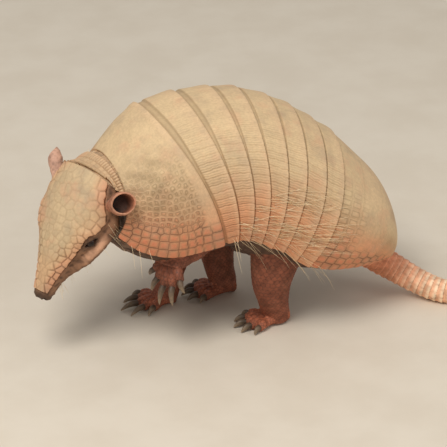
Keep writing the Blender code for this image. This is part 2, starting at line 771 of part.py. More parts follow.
def build_head(animal, guides):
    skin = finish_material("head_skin", (0.30, 0.21, 0.17), 0.7)
    horn = finish_material("head_plates", (0.58, 0.43, 0.30), 0.6)
    wet = finish_material("eye", (0.015, 0.010, 0.008), 0.12)
    head = new_object("head", loft(head_rings(0.0)), animal, skin)
    head_room = new_object("head_room", loft(head_rings(GAP)), guides)
    lids, holes = [], [mouth_cutter(guides)]
    for side, word in ((-1, "left"), (1, "right")):
        place = eye_place(side)
        lids.append(new_object(f"lid_{word}", lid_ring(place), guides))
        holes.append(new_object(f"socket_{word}", eyeball(place, EYE_RADIUS + GAP), guides))
        holes.append(new_object(f"nostril_{word}", nostril_cone(side), guides))
        new_object(f"eye_{word}", eyeball(place, EYE_RADIUS), animal, wet)
    fuse(head, lids, holes)
    shield = plated_shell(
        head_surface, spread(HEAD_SHIELD_FRONT, HEAD_SHIELD_REAR, HEAD_SHIELD_ROWS), head_shield_edge,
        HEAD_SHIELD_COLUMNS, HEAD_SHIELD_THICKNESS, HEAD_SCUTE_RISE,
    )
    new_object("head_shield", shield, animal, horn)
    lines = spread(HEAD_SHIELD_FRONT, HEAD_SHIELD_REAR + SHIELD_ROOM_OVERRUN, HEAD_SHIELD_ROWS)
    shield_room = plated_shell(
        head_surface, lines, lambda station: head_shield_edge(station) + SHIELD_STEP / 2,
        HEAD_SHIELD_COLUMNS, HEAD_SHIELD_THICKNESS + GAP, 0.0, staggered=False,
        lifts=[HEAD_SCUTE_RISE + GAP] * len(lines),
    )
    neck_rooms = [head_room, new_object("head_shield_room", shield_room, guides)]
    ear_bed = new_object("ear_bed", loft(head_rings(EAR_CLEARANCE)), guides)
    ear_shield = plated_shell(
        head_surface, lines, lambda station: head_shield_edge(station) + SHIELD_STEP / 2,
        HEAD_SHIELD_COLUMNS, HEAD_SHIELD_THICKNESS + GAP, 0.0,
        lifts=[HEAD_SCUTE_RISE + EAR_CLEARANCE] * len(lines),
    )
    return neck_rooms, [ear_bed, new_object("ear_shield_room", ear_shield, guides)]


def mouth_cutter(guides):
    """Groove of the mouth, from one corner under the nose to the other."""
    curve = bpy.data.curves.new("mouth", "CURVE")
    curve.dimensions = "3D"
    curve.bevel_depth = MOUTH_GROOVE
    curve.bevel_resolution = 1
    curve.use_fill_caps = True
    route = [(station, -angle) for station, angle in MOUTH] + [(s, a) for s, a in MOUTH[-2::-1]]
    spline = curve.splines.new("POLY")
    spline.points.add(len(route) - 1)
    for point, (station, angle) in zip(spline.points, route):
        point.co = (*head_surface(station, angle), 1.0)
    guide = bpy.data.objects.new("mouth_line", curve)
    guides.objects.link(guide)
    graph = bpy.context.evaluated_depsgraph_get()
    mesh = bpy.data.meshes.new_from_object(guide.evaluated_get(graph))
    bm = bmesh.new()
    bm.from_mesh(mesh)
    bmesh.ops.remove_doubles(bm, verts=bm.verts, dist=WELD)
    bpy.data.objects.remove(guide)
    return new_object("mouth_cut", bm, guides)


def build_ears(animal, head_rooms):
    skin = finish_material("ear_skin", (0.50, 0.28, 0.22), 0.65)
    for name, side, station, mouth_radius, bend_in, lean, long_side in EARS:
        span = mouth_radius - EAR_BASE_RADIUS
        root = lifted(head_surface, station, side * EAR_ANGLE, -EAR_SINK)
        axis = (HEAD_TO_WORLD.to_3x3() @ Vector(lean)).normalized()
        back = HEAD_TO_WORLD.to_3x3() @ Vector(long_side)
        back = (back - axis * back.dot(axis)).normalized()
        across = axis.cross(back)

        def rim_length(turn):
            return EAR_NOTCH + (EAR_LENGTH - EAR_NOTCH) * ((1 + math.cos(turn)) / 2) ** EAR_RIM_CURVE

        def ring(share, wall):
            points = []
            for step in range(EAR_SIDES):
                turn = 2 * math.pi * step / EAR_SIDES
                length = rim_length(turn) * share
                opened = min(length / EAR_NOTCH, 1.0)
                closing = max(length / EAR_LENGTH - EAR_CLOSE_FROM, 0.0)
                radius = EAR_BASE_RADIUS + span * math.sin(opened**EAR_FLARE * math.pi / 2)
                radius = radius - mouth_radius * bend_in * closing**2 - wall
                out = back * math.cos(turn) + across * math.sin(turn)
                points.append(root + axis * length + out * radius)
            return points

        outer = [ring(share, 0.0) for share in EAR_OUTSIDE]
        inner = [ring(share, EAR_WALL) for share in EAR_INSIDE]
        ear = new_object(name, loft(outer + inner), animal, skin)
        fuse(ear, [], head_rooms)


def build_neck(animal, body_rooms, head_rooms):
    skin = finish_material("neck_skin", (0.38, 0.27, 0.21), 0.75)
    horn = finish_material("nuchal_plates", (0.58, 0.43, 0.31), 0.6)
    angles = [2 * math.pi * step / NECK_SIDES for step in range(NECK_SIDES)]
    stations = spread(NECK_FRONT, NECK_REAR, NECK_RINGS)
    rings = [[neck_surface(station, angle) for angle in angles] for station in stations]
    neck = new_object("neck", loft(rings), animal, skin)
    fuse(neck, [], [*body_rooms, *head_rooms])
    band = plated_shell(
        nuchal_surface, [NUCHAL_FRONT, NUCHAL_REAR], lambda station: NUCHAL_EDGE,
        NUCHAL_COLUMNS, NUCHAL_THICKNESS, SCUTE_RISE, staggered=False,
    )
    new_object("nuchal_band", band, animal, horn)


def nuchal_surface(station, angle):
    """Outer surface of the nuchal band, over the neck."""
    return lifted(neck_surface, station, angle, NUCHAL_THICKNESS + 2 * GAP)


def build_tail(animal, body_rooms, floor):
    skin = finish_material("tail_plates", (0.66, 0.44, 0.34), 0.6)
    bm = bmesh.new()
    stations = spread(0.0, 1.0, TAIL_RINGS)
    plates, loops = [], []
    for low, high in zip(stations, stations[1:]):
        for station, lift in ((low, 0.0), (high, TAIL_LAP)):
            angles = [2 * math.pi * (column + 0.5) / TAIL_COLUMNS for column in range(TAIL_COLUMNS)]
            loops.append([bm.verts.new(lifted(tail_surface, station, angle, lift)) for angle in angles])
    for index, (low, high) in enumerate(zip(loops, loops[1:])):
        for column in range(TAIL_COLUMNS):
            after = (column + 1) % TAIL_COLUMNS
            face = bm.faces.new((low[column], low[after], high[after], high[column]))
            if index % 2 == 0:
                plates.append(face)
    for loop in (loops[0], loops[-1]):
        bm.faces.new(loop)
    bmesh.ops.recalc_face_normals(bm, faces=bm.faces)
    bmesh.ops.inset_individual(bm, faces=plates, thickness=TAIL_GROOVE, depth=TAIL_RISE)
    tail = new_object("tail", bm, animal, skin)
    fuse(tail, [], [*body_rooms, floor])


def build_foot(name, rows, aim, toes, sole, paw, animal, guides, rooms, skin, horn):
    """A limb with its foot and toes in one body, and each claw as its own.

    The foot is laid out on the floor, and its paw's lift and dip then set it in place.
    """
    limb = new_object(name, loft(limb_rings(rows)), animal, skin)
    aim = Vector((*aim, 0.0)).normalized()
    side = Vector((-aim.y, aim.x, 0.0))
    ball = Vector(sole[-1][:3])
    lift, dip = paw
    pivot = Vector((ball.x, ball.y, TOE_HEIGHT))
    turn_down = Matrix.Rotation(dip, 4, side)
    place = Matrix.Translation(pivot + UPWARD * lift) @ turn_down @ Matrix.Translation(-pivot)
    pieces = [new_object("sole", loft(placed(limb_rings(sole, UPWARD), place)), guides)]
    for index, (turn, reach, claw_length) in enumerate(toes):
        course = Matrix.Rotation(turn, 3, "Z") @ aim
        root = ball + side * math.sin(turn) * TOE_SPREAD
        root.z = TOE_HEIGHT
        end = root + course * reach
        knuckle = root + course * reach / 2 + UPWARD * TOE_KNUCKLE
        toe_rows = (
            (*(root - course * TOE_SINK), TOE_RADIUS * TOE_ROOT_SHARE, TOE_RADIUS * TOE_ROOT_SHARE),
            (*knuckle, TOE_RADIUS, TOE_RADIUS),
            (*end, TOE_RADIUS * TOE_END_SHARE, TOE_RADIUS * TOE_END_SHARE),
        )
        toe = limb_rings(toe_rows, UPWARD, TOE_SIDES)
        toe[-1] = squared(toe[-1], end, course)
        pieces.append(new_object("toe", loft(placed(toe, place)), guides))
        base = end + course * GAP
        tip = Vector((end.x, end.y, CLAW_TIP_HEIGHT)) + course * claw_length
        middle = base.lerp(tip, 0.5) + UPWARD * CLAW_ARCH
        claw_rows = (
            (*base, CLAW_RADIUS * CLAW_FLATNESS, CLAW_RADIUS),
            (*middle, *(CLAW_RADIUS * share for share in CLAW_MIDDLE)),
            (*tip, CLAW_RADIUS * CLAW_TIP, CLAW_RADIUS * CLAW_TIP),
        )
        claw = limb_rings(claw_rows, UPWARD, CLAW_SIDES)
        claw[0] = squared(claw[0], base, course)
        new_object(f"claw_{name}_{index + 1}", loft(placed(claw, place)), animal, horn)
    fuse(limb, pieces, rooms)


def placed(rings, place):
    return [[place @ point for point in ring] for ring in rings]


def squared(ring, centre, course):
    """A ring moved into the plane through its centre, square to a direction."""
    return [point - course * (point - centre).dot(course) for point in ring]


def main():
    for old in list(bpy.data.objects):
        bpy.data.objects.remove(old)
    animal = bpy.data.collections.new("armadillo")
    guides = bpy.data.collections.new("guides")
    for collection in (animal, guides):
        bpy.context.scene.collection.children.link(collection)
    block = bmesh.new()
    bmesh.ops.create_cube(block, size=FLOOR_BLOCK, matrix=Matrix.Translation(UPWARD * -FLOOR_BLOCK / 2))
    floor = new_object("floor_cut", block, guides)
    build_carapace(animal)
    body_rooms = build_torso(animal, guides)
    neck_rooms, ear_rooms = build_head(animal, guides)
    build_ears(animal, ear_rooms)
    build_neck(animal, body_rooms, neck_rooms)
    build_tail(animal, body_rooms, floor)
    skin = finish_material("leg_skin", (0.50, 0.27, 0.20), 0.7)
    horn = finish_material("claw", (0.33, 0.30, 0.27), 0.45)
    for name, rows, aim, toes, sole, paw in LEGS:
        rooms = [*body_rooms, floor]
        build_foot(name, rows, aim, toes, sole, paw, animal, guides, rooms, skin, horn)
    for guide in list(guides.objects):
        guide.hide_render = True
        guide.display_type = "WIRE"
    root = bpy.data.objects.new("armadillo_origin", None)
    bpy.context.scene.collection.objects.link(root)
    root.location = -CENTRE
    for piece in animal.objects:
        piece.parent = root


main()
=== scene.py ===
# %% [markdown]
# # A six-banded armadillo at life size
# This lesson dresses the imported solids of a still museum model: an armadillo that stands with an arched
# back and bends its head down to feed. The solids give every size and place. Each step makes one piece of
# the animal finer than its solid, gives it a finish made of nodes, and lets it ride on the model's only
# body.

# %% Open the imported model
import json
import math
import random
from functools import partial

import bpy
import numpy as np
from mathutils import Matrix, Vector, kdtree

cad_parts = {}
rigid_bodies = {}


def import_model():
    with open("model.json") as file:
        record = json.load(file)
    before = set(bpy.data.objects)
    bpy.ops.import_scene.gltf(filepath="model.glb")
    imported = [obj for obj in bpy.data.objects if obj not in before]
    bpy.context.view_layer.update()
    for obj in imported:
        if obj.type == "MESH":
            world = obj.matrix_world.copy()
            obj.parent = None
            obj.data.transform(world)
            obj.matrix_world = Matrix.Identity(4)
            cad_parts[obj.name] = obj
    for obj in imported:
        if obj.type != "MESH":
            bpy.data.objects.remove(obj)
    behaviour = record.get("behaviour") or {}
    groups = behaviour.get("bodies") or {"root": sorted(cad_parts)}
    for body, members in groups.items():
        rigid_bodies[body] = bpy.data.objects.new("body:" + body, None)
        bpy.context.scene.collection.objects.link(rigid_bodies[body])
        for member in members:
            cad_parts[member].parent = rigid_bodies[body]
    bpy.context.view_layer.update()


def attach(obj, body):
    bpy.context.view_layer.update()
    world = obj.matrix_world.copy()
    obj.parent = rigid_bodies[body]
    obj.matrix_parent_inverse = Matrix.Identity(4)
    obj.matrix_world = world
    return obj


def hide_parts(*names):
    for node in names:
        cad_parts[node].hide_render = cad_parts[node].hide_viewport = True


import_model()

# %% [markdown]
# ## Tables and smooth curves
# The animal is described by a few rows of measures, each taken at a station along the body. A smooth curve
# through the rows gives the measures anywhere between them. The functions here take whole arrays, because
# numpy works out a hundred thousand points as quickly as Python works out a few hundred.

# %% Values between the rows of a table
CENTRE = np.array((0.0523, -0.0018, 0.0))
draw = random.Random(61)


def between(rows, at):
    """Values of a table at the given stations, on a smooth curve through its rows."""
    table = np.array(rows, float)
    key, value = table[:, 0], table[:, 1:]
    at = np.asarray(at, float)
    low = np.clip(np.searchsorted(key, at) - 1, 0, len(key) - 2)
    high = low + 1
    before, after = np.maximum(low - 1, 0), np.minimum(low + 2, len(key) - 1)
    span = key[high] - key[low]
    step = ((at - key[low]) / span)[..., None]
    slope_low = (value[high] - value[before]) * (span / (key[high] - key[before]))[..., None]
    slope_high = (value[after] - value[low]) * (span / (key[after] - key[low]))[..., None]
    return (
        value[low] * (2 * step**3 - 3 * step**2 + 1)
        + value[high] * (3 * step**2 - 2 * step**3)
        + slope_low * (step**3 - 2 * step**2 + step)
        + slope_high * (step**3 - step**2)
    )


def ease(low, high, value):
    """0 below low, 1 above high, and a smooth slope between them."""
    step = np.clip((np.asarray(value, float) - low) / (high - low), 0.0, 1.0)
    return step * step * (3 - 2 * step)


def ease_degrees(low, high, angle):
    """The same slope between two angles in degrees, alike on both sides of the body."""
    return ease(math.radians(low), math.radians(high), np.abs(angle))


def bell(away, width, power=2):
    """1 on a line and close to 0 beyond its width, with a flatter top for a power of 4."""
    return np.exp(-((away / width) ** power))


def arrays(*values):
    """Numbers or arrays as arrays of one shape."""
    return np.broadcast_arrays(*(np.asarray(value, float) for value in values))


UPWARD, FORWARD = np.array((0.0, 0.0, 1.0)), np.array((-1.0, 0.0, 0.0))


def unit(vectors):
    return vectors / np.maximum(np.linalg.norm(vectors, axis=-1, keepdims=True), 1e-12)


print("halfway between two rows:", between(((0, 1.0), (1, 3.0)), 0.5))

# %% [markdown]
# ## The carapace as a surface
# An armadillo's back is one arched dome, parted into a shoulder shield, seven moving bands and a pelvic
# shield. The dome is a surface with two directions: a station that runs from the front rim (0) to the
# margin over the tail (13), and an angle down from the middle of the back. The front of the spine bends to
# the left.

# %% Carapace rows: station, top (x, z), lower edge (x, z), half width
CARAPACE = (
    (0.0, -0.143, 0.190, -0.150, 0.127, 0.051),
    (0.4, -0.125, 0.209, -0.129, 0.111, 0.063),
    (0.7, -0.113, 0.219, -0.097, 0.104, 0.074),
    (1.0, -0.098, 0.226, -0.048, 0.112, 0.082),
    (2.0, -0.061, 0.231, -0.034, 0.115, 0.085),
    (3.0, -0.027, 0.230, -0.022, 0.114, 0.086),
    (4.0, -0.002, 0.226, -0.008, 0.109, 0.086),
    (5.0, 0.026, 0.215, 0.004, 0.102, 0.085),
    (6.0, 0.048, 0.203, 0.018, 0.096, 0.084),
    (7.0, 0.069, 0.188, 0.032, 0.084, 0.082),
    (8.0, 0.088, 0.173, 0.046, 0.075, 0.079),
    (9.0, 0.110, 0.150, 0.066, 0.067, 0.074),
    (10.0, 0.129, 0.128, 0.086, 0.062, 0.066),
    (11.0, 0.141, 0.105, 0.105, 0.058, 0.056),
    (12.0, 0.146, 0.082, 0.120, 0.054, 0.044),
    (13.0, 0.142, 0.058, 0.128, 0.050, 0.031),
)
EDGE_ANGLE = math.radians(114)
FLANK_BOW = 0.005
LAST_LINE, REAR_MARGIN = 8.0, 13.0
BEND_START_X, BEND_END_X = 0.030, -0.095
BEND_ANGLE = math.radians(13)


def bend(points):
    """Curves the straight body to the left, ahead of BEND_START_X, and centres it over the origin."""
    x, y, z = np.moveaxis(points, -1, 0)
    radius = (BEND_START_X - BEND_END_X) / BEND_ANGLE
    turn = BEND_ANGLE * np.clip((BEND_START_X - x) / (BEND_START_X - BEND_END_X), 0.0, 1.0)
    behind, beyond = np.maximum(x - BEND_START_X, 0.0), np.maximum(BEND_END_X - x, 0.0)
    bent_x = BEND_START_X + behind - radius * np.sin(turn) - beyond * np.cos(turn) - y * np.sin(turn)
    bent_y = -radius * (1 - np.cos(turn)) - beyond * np.sin(turn) + y * np.cos(turn)
    return np.stack((bent_x, bent_y, z), axis=-1) - CENTRE


def carapace(station, angle):
    """Points of the carapace by station and angle down from the back."""
    station, angle = arrays(station, angle)
    top_x, top_z, edge_x, edge_z, half_width = np.moveaxis(between(CARAPACE, station), -1, 0)
    drop = (1 - np.cos(angle)) / (1 - math.cos(EDGE_ANGLE))
    bow = FLANK_BOW * np.sin(np.pi * np.minimum(drop, 1.0))
    x = top_x + (edge_x - top_x) * drop + bow
    return bend(np.stack((x, half_width * np.sin(angle), top_z + (edge_z - top_z) * drop), axis=-1))


def normals(surface, station, angle, step=0.01):
    """Outward directions of a surface."""
    along = surface(station + step, angle) - surface(station - step, angle)
    around = surface(station, angle + step) - surface(station, angle - step)
    return unit(np.cross(along, around))


print("top of the second band:", carapace(2.5, 0.0).round(3))

# %% [markdown]
# ## Plates that share their borders
# Scutes are bony tiles that fill the shell with no space left over. Sites are scattered at the size of the
# tiles, and each point of the shell belongs to the nearest site, which gives tiles with straight borders as
# in a honeycomb. The distance to the nearest border then shapes the groove, the raised middle figure and
# the colour, so that all three agree.

# %% Distance of each point to the border of its plate
NEIGHBOURS, SLICE = 5, 8000


def plates(points, sites):
    """Nearest site of each point and the distance to its plate's border, both by brute force in slices."""
    flat, sites = points.reshape(-1, 3), np.asarray(sites, float)
    owner, border = np.empty(len(flat), int), np.empty(len(flat))
    squares = (sites**2).sum(axis=1)
    for start in range(0, len(flat), SLICE):
        part = flat[start:start + SLICE]
        away = (part**2).sum(axis=1)[:, None] - 2 * part @ sites.T + squares
        near = np.argpartition(away, NEIGHBOURS, axis=1)[:, :NEIGHBOURS]
        away = np.take_along_axis(away, near, axis=1)
        order = np.argsort(away, axis=1)
        near, away = np.take_along_axis(near, order, axis=1), np.take_along_axis(away, order, axis=1)
        apart = np.linalg.norm(sites[near[:, 1:]] - sites[near[:, :1]], axis=2)
        gap = (away[:, 1:] - away[:, :1]) / (2 * np.maximum(apart, 1e-9))
        owner[start:start + SLICE], border[start:start + SLICE] = near[:, 0], gap.min(axis=1)
    return owner.reshape(points.shape[:-1]), border.reshape(points.shape[:-1])


def even(path_of, start, end, count, offset=0.5, samples=300):
    """Parameters of points spread evenly by length along a path."""
    at = np.linspace(start, end, samples)
    path = path_of(at)
    run = np.concatenate(([0.0], np.cumsum(np.linalg.norm(np.diff(path, axis=0), axis=1))))
    return np.interp((np.arange(count) + offset) / count * run[-1], run, at), run[-1]


def wrinkles(points, scale, seed):
    """Soft folds: a sum of waves in random directions, from -1 to 1."""
    chance = np.random.default_rng(seed)
    total = np.zeros(points.shape[:-1])
    for _ in range(9):
        way = unit(chance.normal(size=3)) * (2 * math.pi / (scale * chance.uniform(0.7, 1.5)))
        total += np.sin(points @ way + chance.uniform(0, 6.28))
    return total / 3.6


_, back_arc = even(lambda angle: carapace(4.5, angle), 0.0, EDGE_ANGLE, 1)
print("from the back down to the lower edge:", round(back_arc * 1000), "mm")

# %% [markdown]
# ## From a grid of points to a shell
# Every plate piece is a sheet with a real thickness. The outer face is a fine grid pushed in and out by the
# plates, the inner face is a coarser grid that nobody sees, and faces with many corners close the rim
# between them. The finish reads numbers that are stored at each point: how strong the groove is, which
# plate it is, how far down the flank it lies, and whether it is on a plate's middle figure, on a rear rim
# or in a fold.

# %% Build a shell, a closed loft and other meshes from arrays
def new_object(name, data):
    made = bpy.data.objects.new(name, data)
    bpy.context.scene.collection.objects.link(made)
    return made


def make_piece(name, points, faces, marks=None):
    """A mesh object from arrays, with its marks as a colour attribute."""
    mesh = bpy.data.meshes.new(name)
    mesh.from_pydata(np.asarray(points).tolist(), [], faces)
    for layer, start in (("marks", 0), ("form", 3)):
        if marks is not None and marks.shape[-1] > start:
            colours = np.zeros((len(mesh.vertices), 4), np.float32)
            colours[:, :3] = marks[:, start:start + 3]
            mesh.attributes.new(layer, "FLOAT_COLOR", "POINT").data.foreach_set("color", colours.ravel())
    mesh.shade_smooth()
    return new_object(name, mesh)


def quads(rows, columns, start=0, wrap=False):
    """Faces of a grid of points, as an array."""
    row, column = np.meshgrid(np.arange(rows - 1), np.arange(columns if wrap else columns - 1), indexing="ij")
    after = (column + 1) % columns
    here, below = row * columns, (row + 1) * columns
    corners = (here + column, here + after, below + after, below + column)
    return np.stack(corners, axis=-1).reshape(-1, 4) + start


def shell(name, outer, inner, step, marks):
    """A closed sheet: its outer grid, an inner grid with every step-th point, and a rim between them."""
    rows, columns = outer.shape[:2]
    points = np.concatenate((outer.reshape(-1, 3), inner.reshape(-1, 3)))
    low_rows, low_columns = inner.shape[:2]
    start = rows * columns
    faces = quads(rows, columns).tolist() + quads(low_rows, low_columns, start)[:, ::-1].tolist()
    index = np.arange(start).reshape(rows, columns)
    below = start + np.arange(low_rows * low_columns).reshape(low_rows, low_columns)
    for outer_rim, inner_rim, turned in (
        (index[0], below[0], False), (index[-1], below[-1], True),
        (index[:, 0], below[:, 0], True), (index[:, -1], below[:, -1], False),
    ):
        for place in range(len(inner_rim) - 1):
            fine_side = outer_rim[place * step:place * step + step + 1][::-1]
            face = [*fine_side, inner_rim[place], inner_rim[place + 1]]
            faces.append([int(corner) for corner in (face[::-1] if turned else face)])
    extra = np.zeros((low_rows * low_columns, marks.shape[-1]))
    return make_piece(name, points, faces, np.concatenate((marks.reshape(start, -1), extra)))


print("a shell of 5 by 5 points has", len(quads(5, 5)), "outer faces")

# %% [markdown]
# ## Where the scutes sit
# On the shoulder shield the lowest three rows are squarish blocks of about 10 mm. Above them smaller scutes
# of about 6 mm lie in staggered rows, and the rear margin is a row of smooth, longer plates. Each band is
# one row of rectangles about 7 mm wide, and the pelvic shield goes on with rows of rectangles nearly 9 mm
# wide. Counting along the real arc of the shell, not by angle, keeps the scutes of one size from the back
# to the rim.

# %% Sites of the scutes
BLOCK, SCUTE, BAND_SCUTE = 0.0104, 0.0062, 0.0072
BLOCK_ROWS = 3
GIRTH_STATION, LAST_COLUMN, MARGIN_STATION = 0.6, 0.88, 0.935
MARGIN_PLATE = 0.0090
SCUTE_WOBBLE, ROW_WOBBLE = 0.24, 0.625


def side_angles(station, distances):
    """Angles whose distance up from the lower edge is given, at one station."""
    at = np.linspace(EDGE_ANGLE, 0.0, 300)
    path = carapace(station, at)
    run = np.concatenate(([0.0], np.cumsum(np.linalg.norm(np.diff(path, axis=0), axis=1))))
    return np.interp(distances, run / run[-1] * back_arc, at)


def shoulder_sites():
    """Sites of the shoulder shield, in rows from each lower edge up to the middle of the back."""
    found = []
    upper_rows = round((back_arc - BLOCK_ROWS * BLOCK) / SCUTE)
    distances = [(row + 0.5) * BLOCK for row in range(BLOCK_ROWS)]
    distances += [BLOCK_ROWS * BLOCK + (row + 0.5) * SCUTE for row in range(upper_rows)]
    edge_length = even(lambda at: carapace(at, side_angles(GIRTH_STATION, BLOCK)), 0.0, 0.92, 1)[1]
    columns = round(edge_length / BLOCK)
    for side in (-1, 1):
        for row, distance in enumerate(distances):
            path = partial(carapace, angle=side_angles(GIRTH_STATION, distance))
            length = even(path, 0.0, LAST_COLUMN, 1)[1]
            count = columns if row < BLOCK_ROWS else max(round(length / SCUTE), 3)
            shift = 0.5 if row < BLOCK_ROWS or row % 2 else 0.25
            size, wobble = (BLOCK, 0.05 + 0.05 * row) if row < BLOCK_ROWS else (SCUTE, SCUTE_WOBBLE)
            for station in even(path, 0.0, LAST_COLUMN, count, shift)[0]:
                spot_angle = side_angles(station, distance + draw.uniform(-wobble, wobble) * size)
                spot_station = station + draw.uniform(-wobble, wobble) * LAST_COLUMN / count
                found.append((spot_station, side * spot_angle))
        margin = distances[:BLOCK_ROWS]
        margin += list(np.arange(BLOCK_ROWS * BLOCK + MARGIN_PLATE / 2, back_arc, MARGIN_PLATE))
        found += [
            (MARGIN_STATION, side * float(side_angles(MARGIN_STATION, distance))) for distance in margin
        ]
    return np.array(found)


def row_sites(station, width, offset=0.0):
    """Sites of one row of scutes across the body."""
    _, arc = even(lambda angle: carapace(station, angle), -EDGE_ANGLE, EDGE_ANGLE, 1)
    count = round(arc / width)
    angles, _ = even(lambda angle: carapace(station, angle), -EDGE_ANGLE, EDGE_ANGLE, count, 0.5 + offset)
    return [(station, angle + draw.uniform(-ROW_WOBBLE, ROW_WOBBLE) * width) for angle in angles]


shoulder = shoulder_sites()
print(len(shoulder), "scutes on the shoulder shield")

# %% [markdown]
# ## Relief of the shell
# A scute is raised from its grooves and carries a middle figure inside a second, finer groove. On top of
# the back the relief is worn and filled with dust, and it is sharpest on the flanks. On the small scutes
# the inner groove is dark and the border is pale. On the blocks of the lower rim the border is dark and the
# inner groove is faint. One function serves both shields, and the bands have their own.

# %% Height and marks of plates on the carapace
SHELL_THICKNESS, INNER_STEP = 0.0032, 6
PLATE_RISE, FIGURE_DEPTH = 0.0007, 0.0003
TOP_ANGLE, FLANK_ANGLE = math.radians(28), math.radians(76)


def down_flank(angle):
    return ease_degrees(40, 112, angle)


def marked(groove, plate, flank, figure=0.0, rim=0.0, fold=0.0):
    """The six numbers that the finish reads at each point."""
    return np.stack(arrays(groove, plate, flank, figure, rim, fold), axis=-1)


def plate_relief(points, angle, sites, worn=0.12, figure_at=0.0018):
    """Height of the plates over the shell's base, and the marks of each point."""
    owner, border = plates(points, carapace(sites[:, 0], sites[:, 1]))
    sharp = worn + (1 - worn) * ease(TOP_ANGLE, FLANK_ANGLE, np.abs(angle))
    ringed = ease_degrees(93, 84, angle)
    ring = bell(border - figure_at, 0.00044 + 0.00016 * ringed)
    height = sharp * (PLATE_RISE * ease(0.0, 0.0011, border) - FIGURE_DEPTH * ring)
    between_plates = bell(border, 0.00080 - 0.00014 * ringed)
    groove = sharp * np.clip((1.0 - 0.66 * ringed) * between_plates + (0.42 + 0.50 * ringed) * ring, 0, 1)
    kinds = np.random.default_rng(7).random(len(sites))[owner]
    figure = ease(figure_at, figure_at + 0.0008, border) * sharp
    pale_net = 0.85 * sharp * ringed * bell(border, 0.0010)
    return height, marked(groove, kinds, down_flank(angle), figure, pale_net)


def plate_sheet(name, stations, angles, relief, thickness=SHELL_THICKNESS, surface=carapace):
    """A shell over a surface, with a relief function of its points, stations and angles."""
    station, angle = np.meshgrid(stations, angles, indexing="ij")
    base, outward = surface(station, angle), normals(surface, station, angle)
    height, marks = relief(base, station, angle)
    outer = base + outward * height[..., None]
    inner = (base - outward * thickness)[::INNER_STEP, ::INNER_STEP]
    return shell(name, outer, inner, INNER_STEP, marks)


print("relief of a plate from groove to top:", PLATE_RISE * 1000, "mm")

# %% [markdown]
# ## Shoulder shield
# The shield is one rigid piece with many scutes. Near its rear margin the plates lose their grooves and
# turn into a smooth rim that laps over the first band, so the relief is faded out there.

# %% Make the shoulder shield
BAND_LIFT = 0.0014
RIM_DROP, FRONT_DROP = 0.0011, 0.0010
MARGIN_START = 0.87
RIM_WEAR = 0.85
SHIELD_COLUMNS, SHOULDER_LINES, PELVIC_LINES = 505, 133, 175


def shoulder_relief(points, station, angle):
    height, marks = plate_relief(points, angle, shoulder, 0.12, 0.0016)
    smooth_rim = ease(MARGIN_START - 0.03, MARGIN_START + 0.02, station)
    smooth_rim = smooth_rim * (1 - ease_degrees(88, 100, angle))
    lap = BAND_LIFT * ease(0.75, 0.965, station)
    rounded = -RIM_DROP * ease(0.962, 0.985, station) - FRONT_DROP * (1 - ease(0.0, 0.012, station))
    height = height * (1 - RIM_WEAR * smooth_rim) + lap + rounded + PLATE_RISE * 0.7 * smooth_rim
    marks[..., (0, 3)] *= 1 - RIM_WEAR * smooth_rim[..., None]
    marks[..., 4] = np.maximum(ease(0.80, 0.93, station), marks[..., 4] * (1 - smooth_rim))
    # The sides of the shield's front are made darker in patches, in the colour of the folds.
    darker_side = ease_degrees(22, 42, angle) * ease_degrees(92, 76, angle)
    marks[..., 5] = darker_side * ease(0.86, 0.70, station) * (0.30 + 0.26 * wrinkles(points, 0.014, 22))
    return height, marks


angles = np.linspace(-EDGE_ANGLE, EDGE_ANGLE, SHIELD_COLUMNS)
stations = np.linspace(0.0, 0.985, SHOULDER_LINES)
shoulder_shield = plate_sheet("shoulder_shield_plates", stations, angles, shoulder_relief)
print("shoulder shield:", len(shoulder_shield.data.polygons), "faces")

# %% [markdown]
# ## The seven bands
# Each band starts with a low strip that slides under the piece ahead, which shows as a dark olive line that
# is widest on top of the back. Behind it the plates rise toward a free rear edge. Each rectangle has two
# fine grooves along it, and together with its borders they give the close lines that run along the body.
# The lines waver a little, because ruled ones would look machined.

# %% Make the bands
BAND_COUNT = 7
STRIP_DROP = 0.0011
FIGURE_SHARE = 0.17
LINE_WAVER = 0.0045
BAND_LINES, BAND_COLUMNS = 43, 625


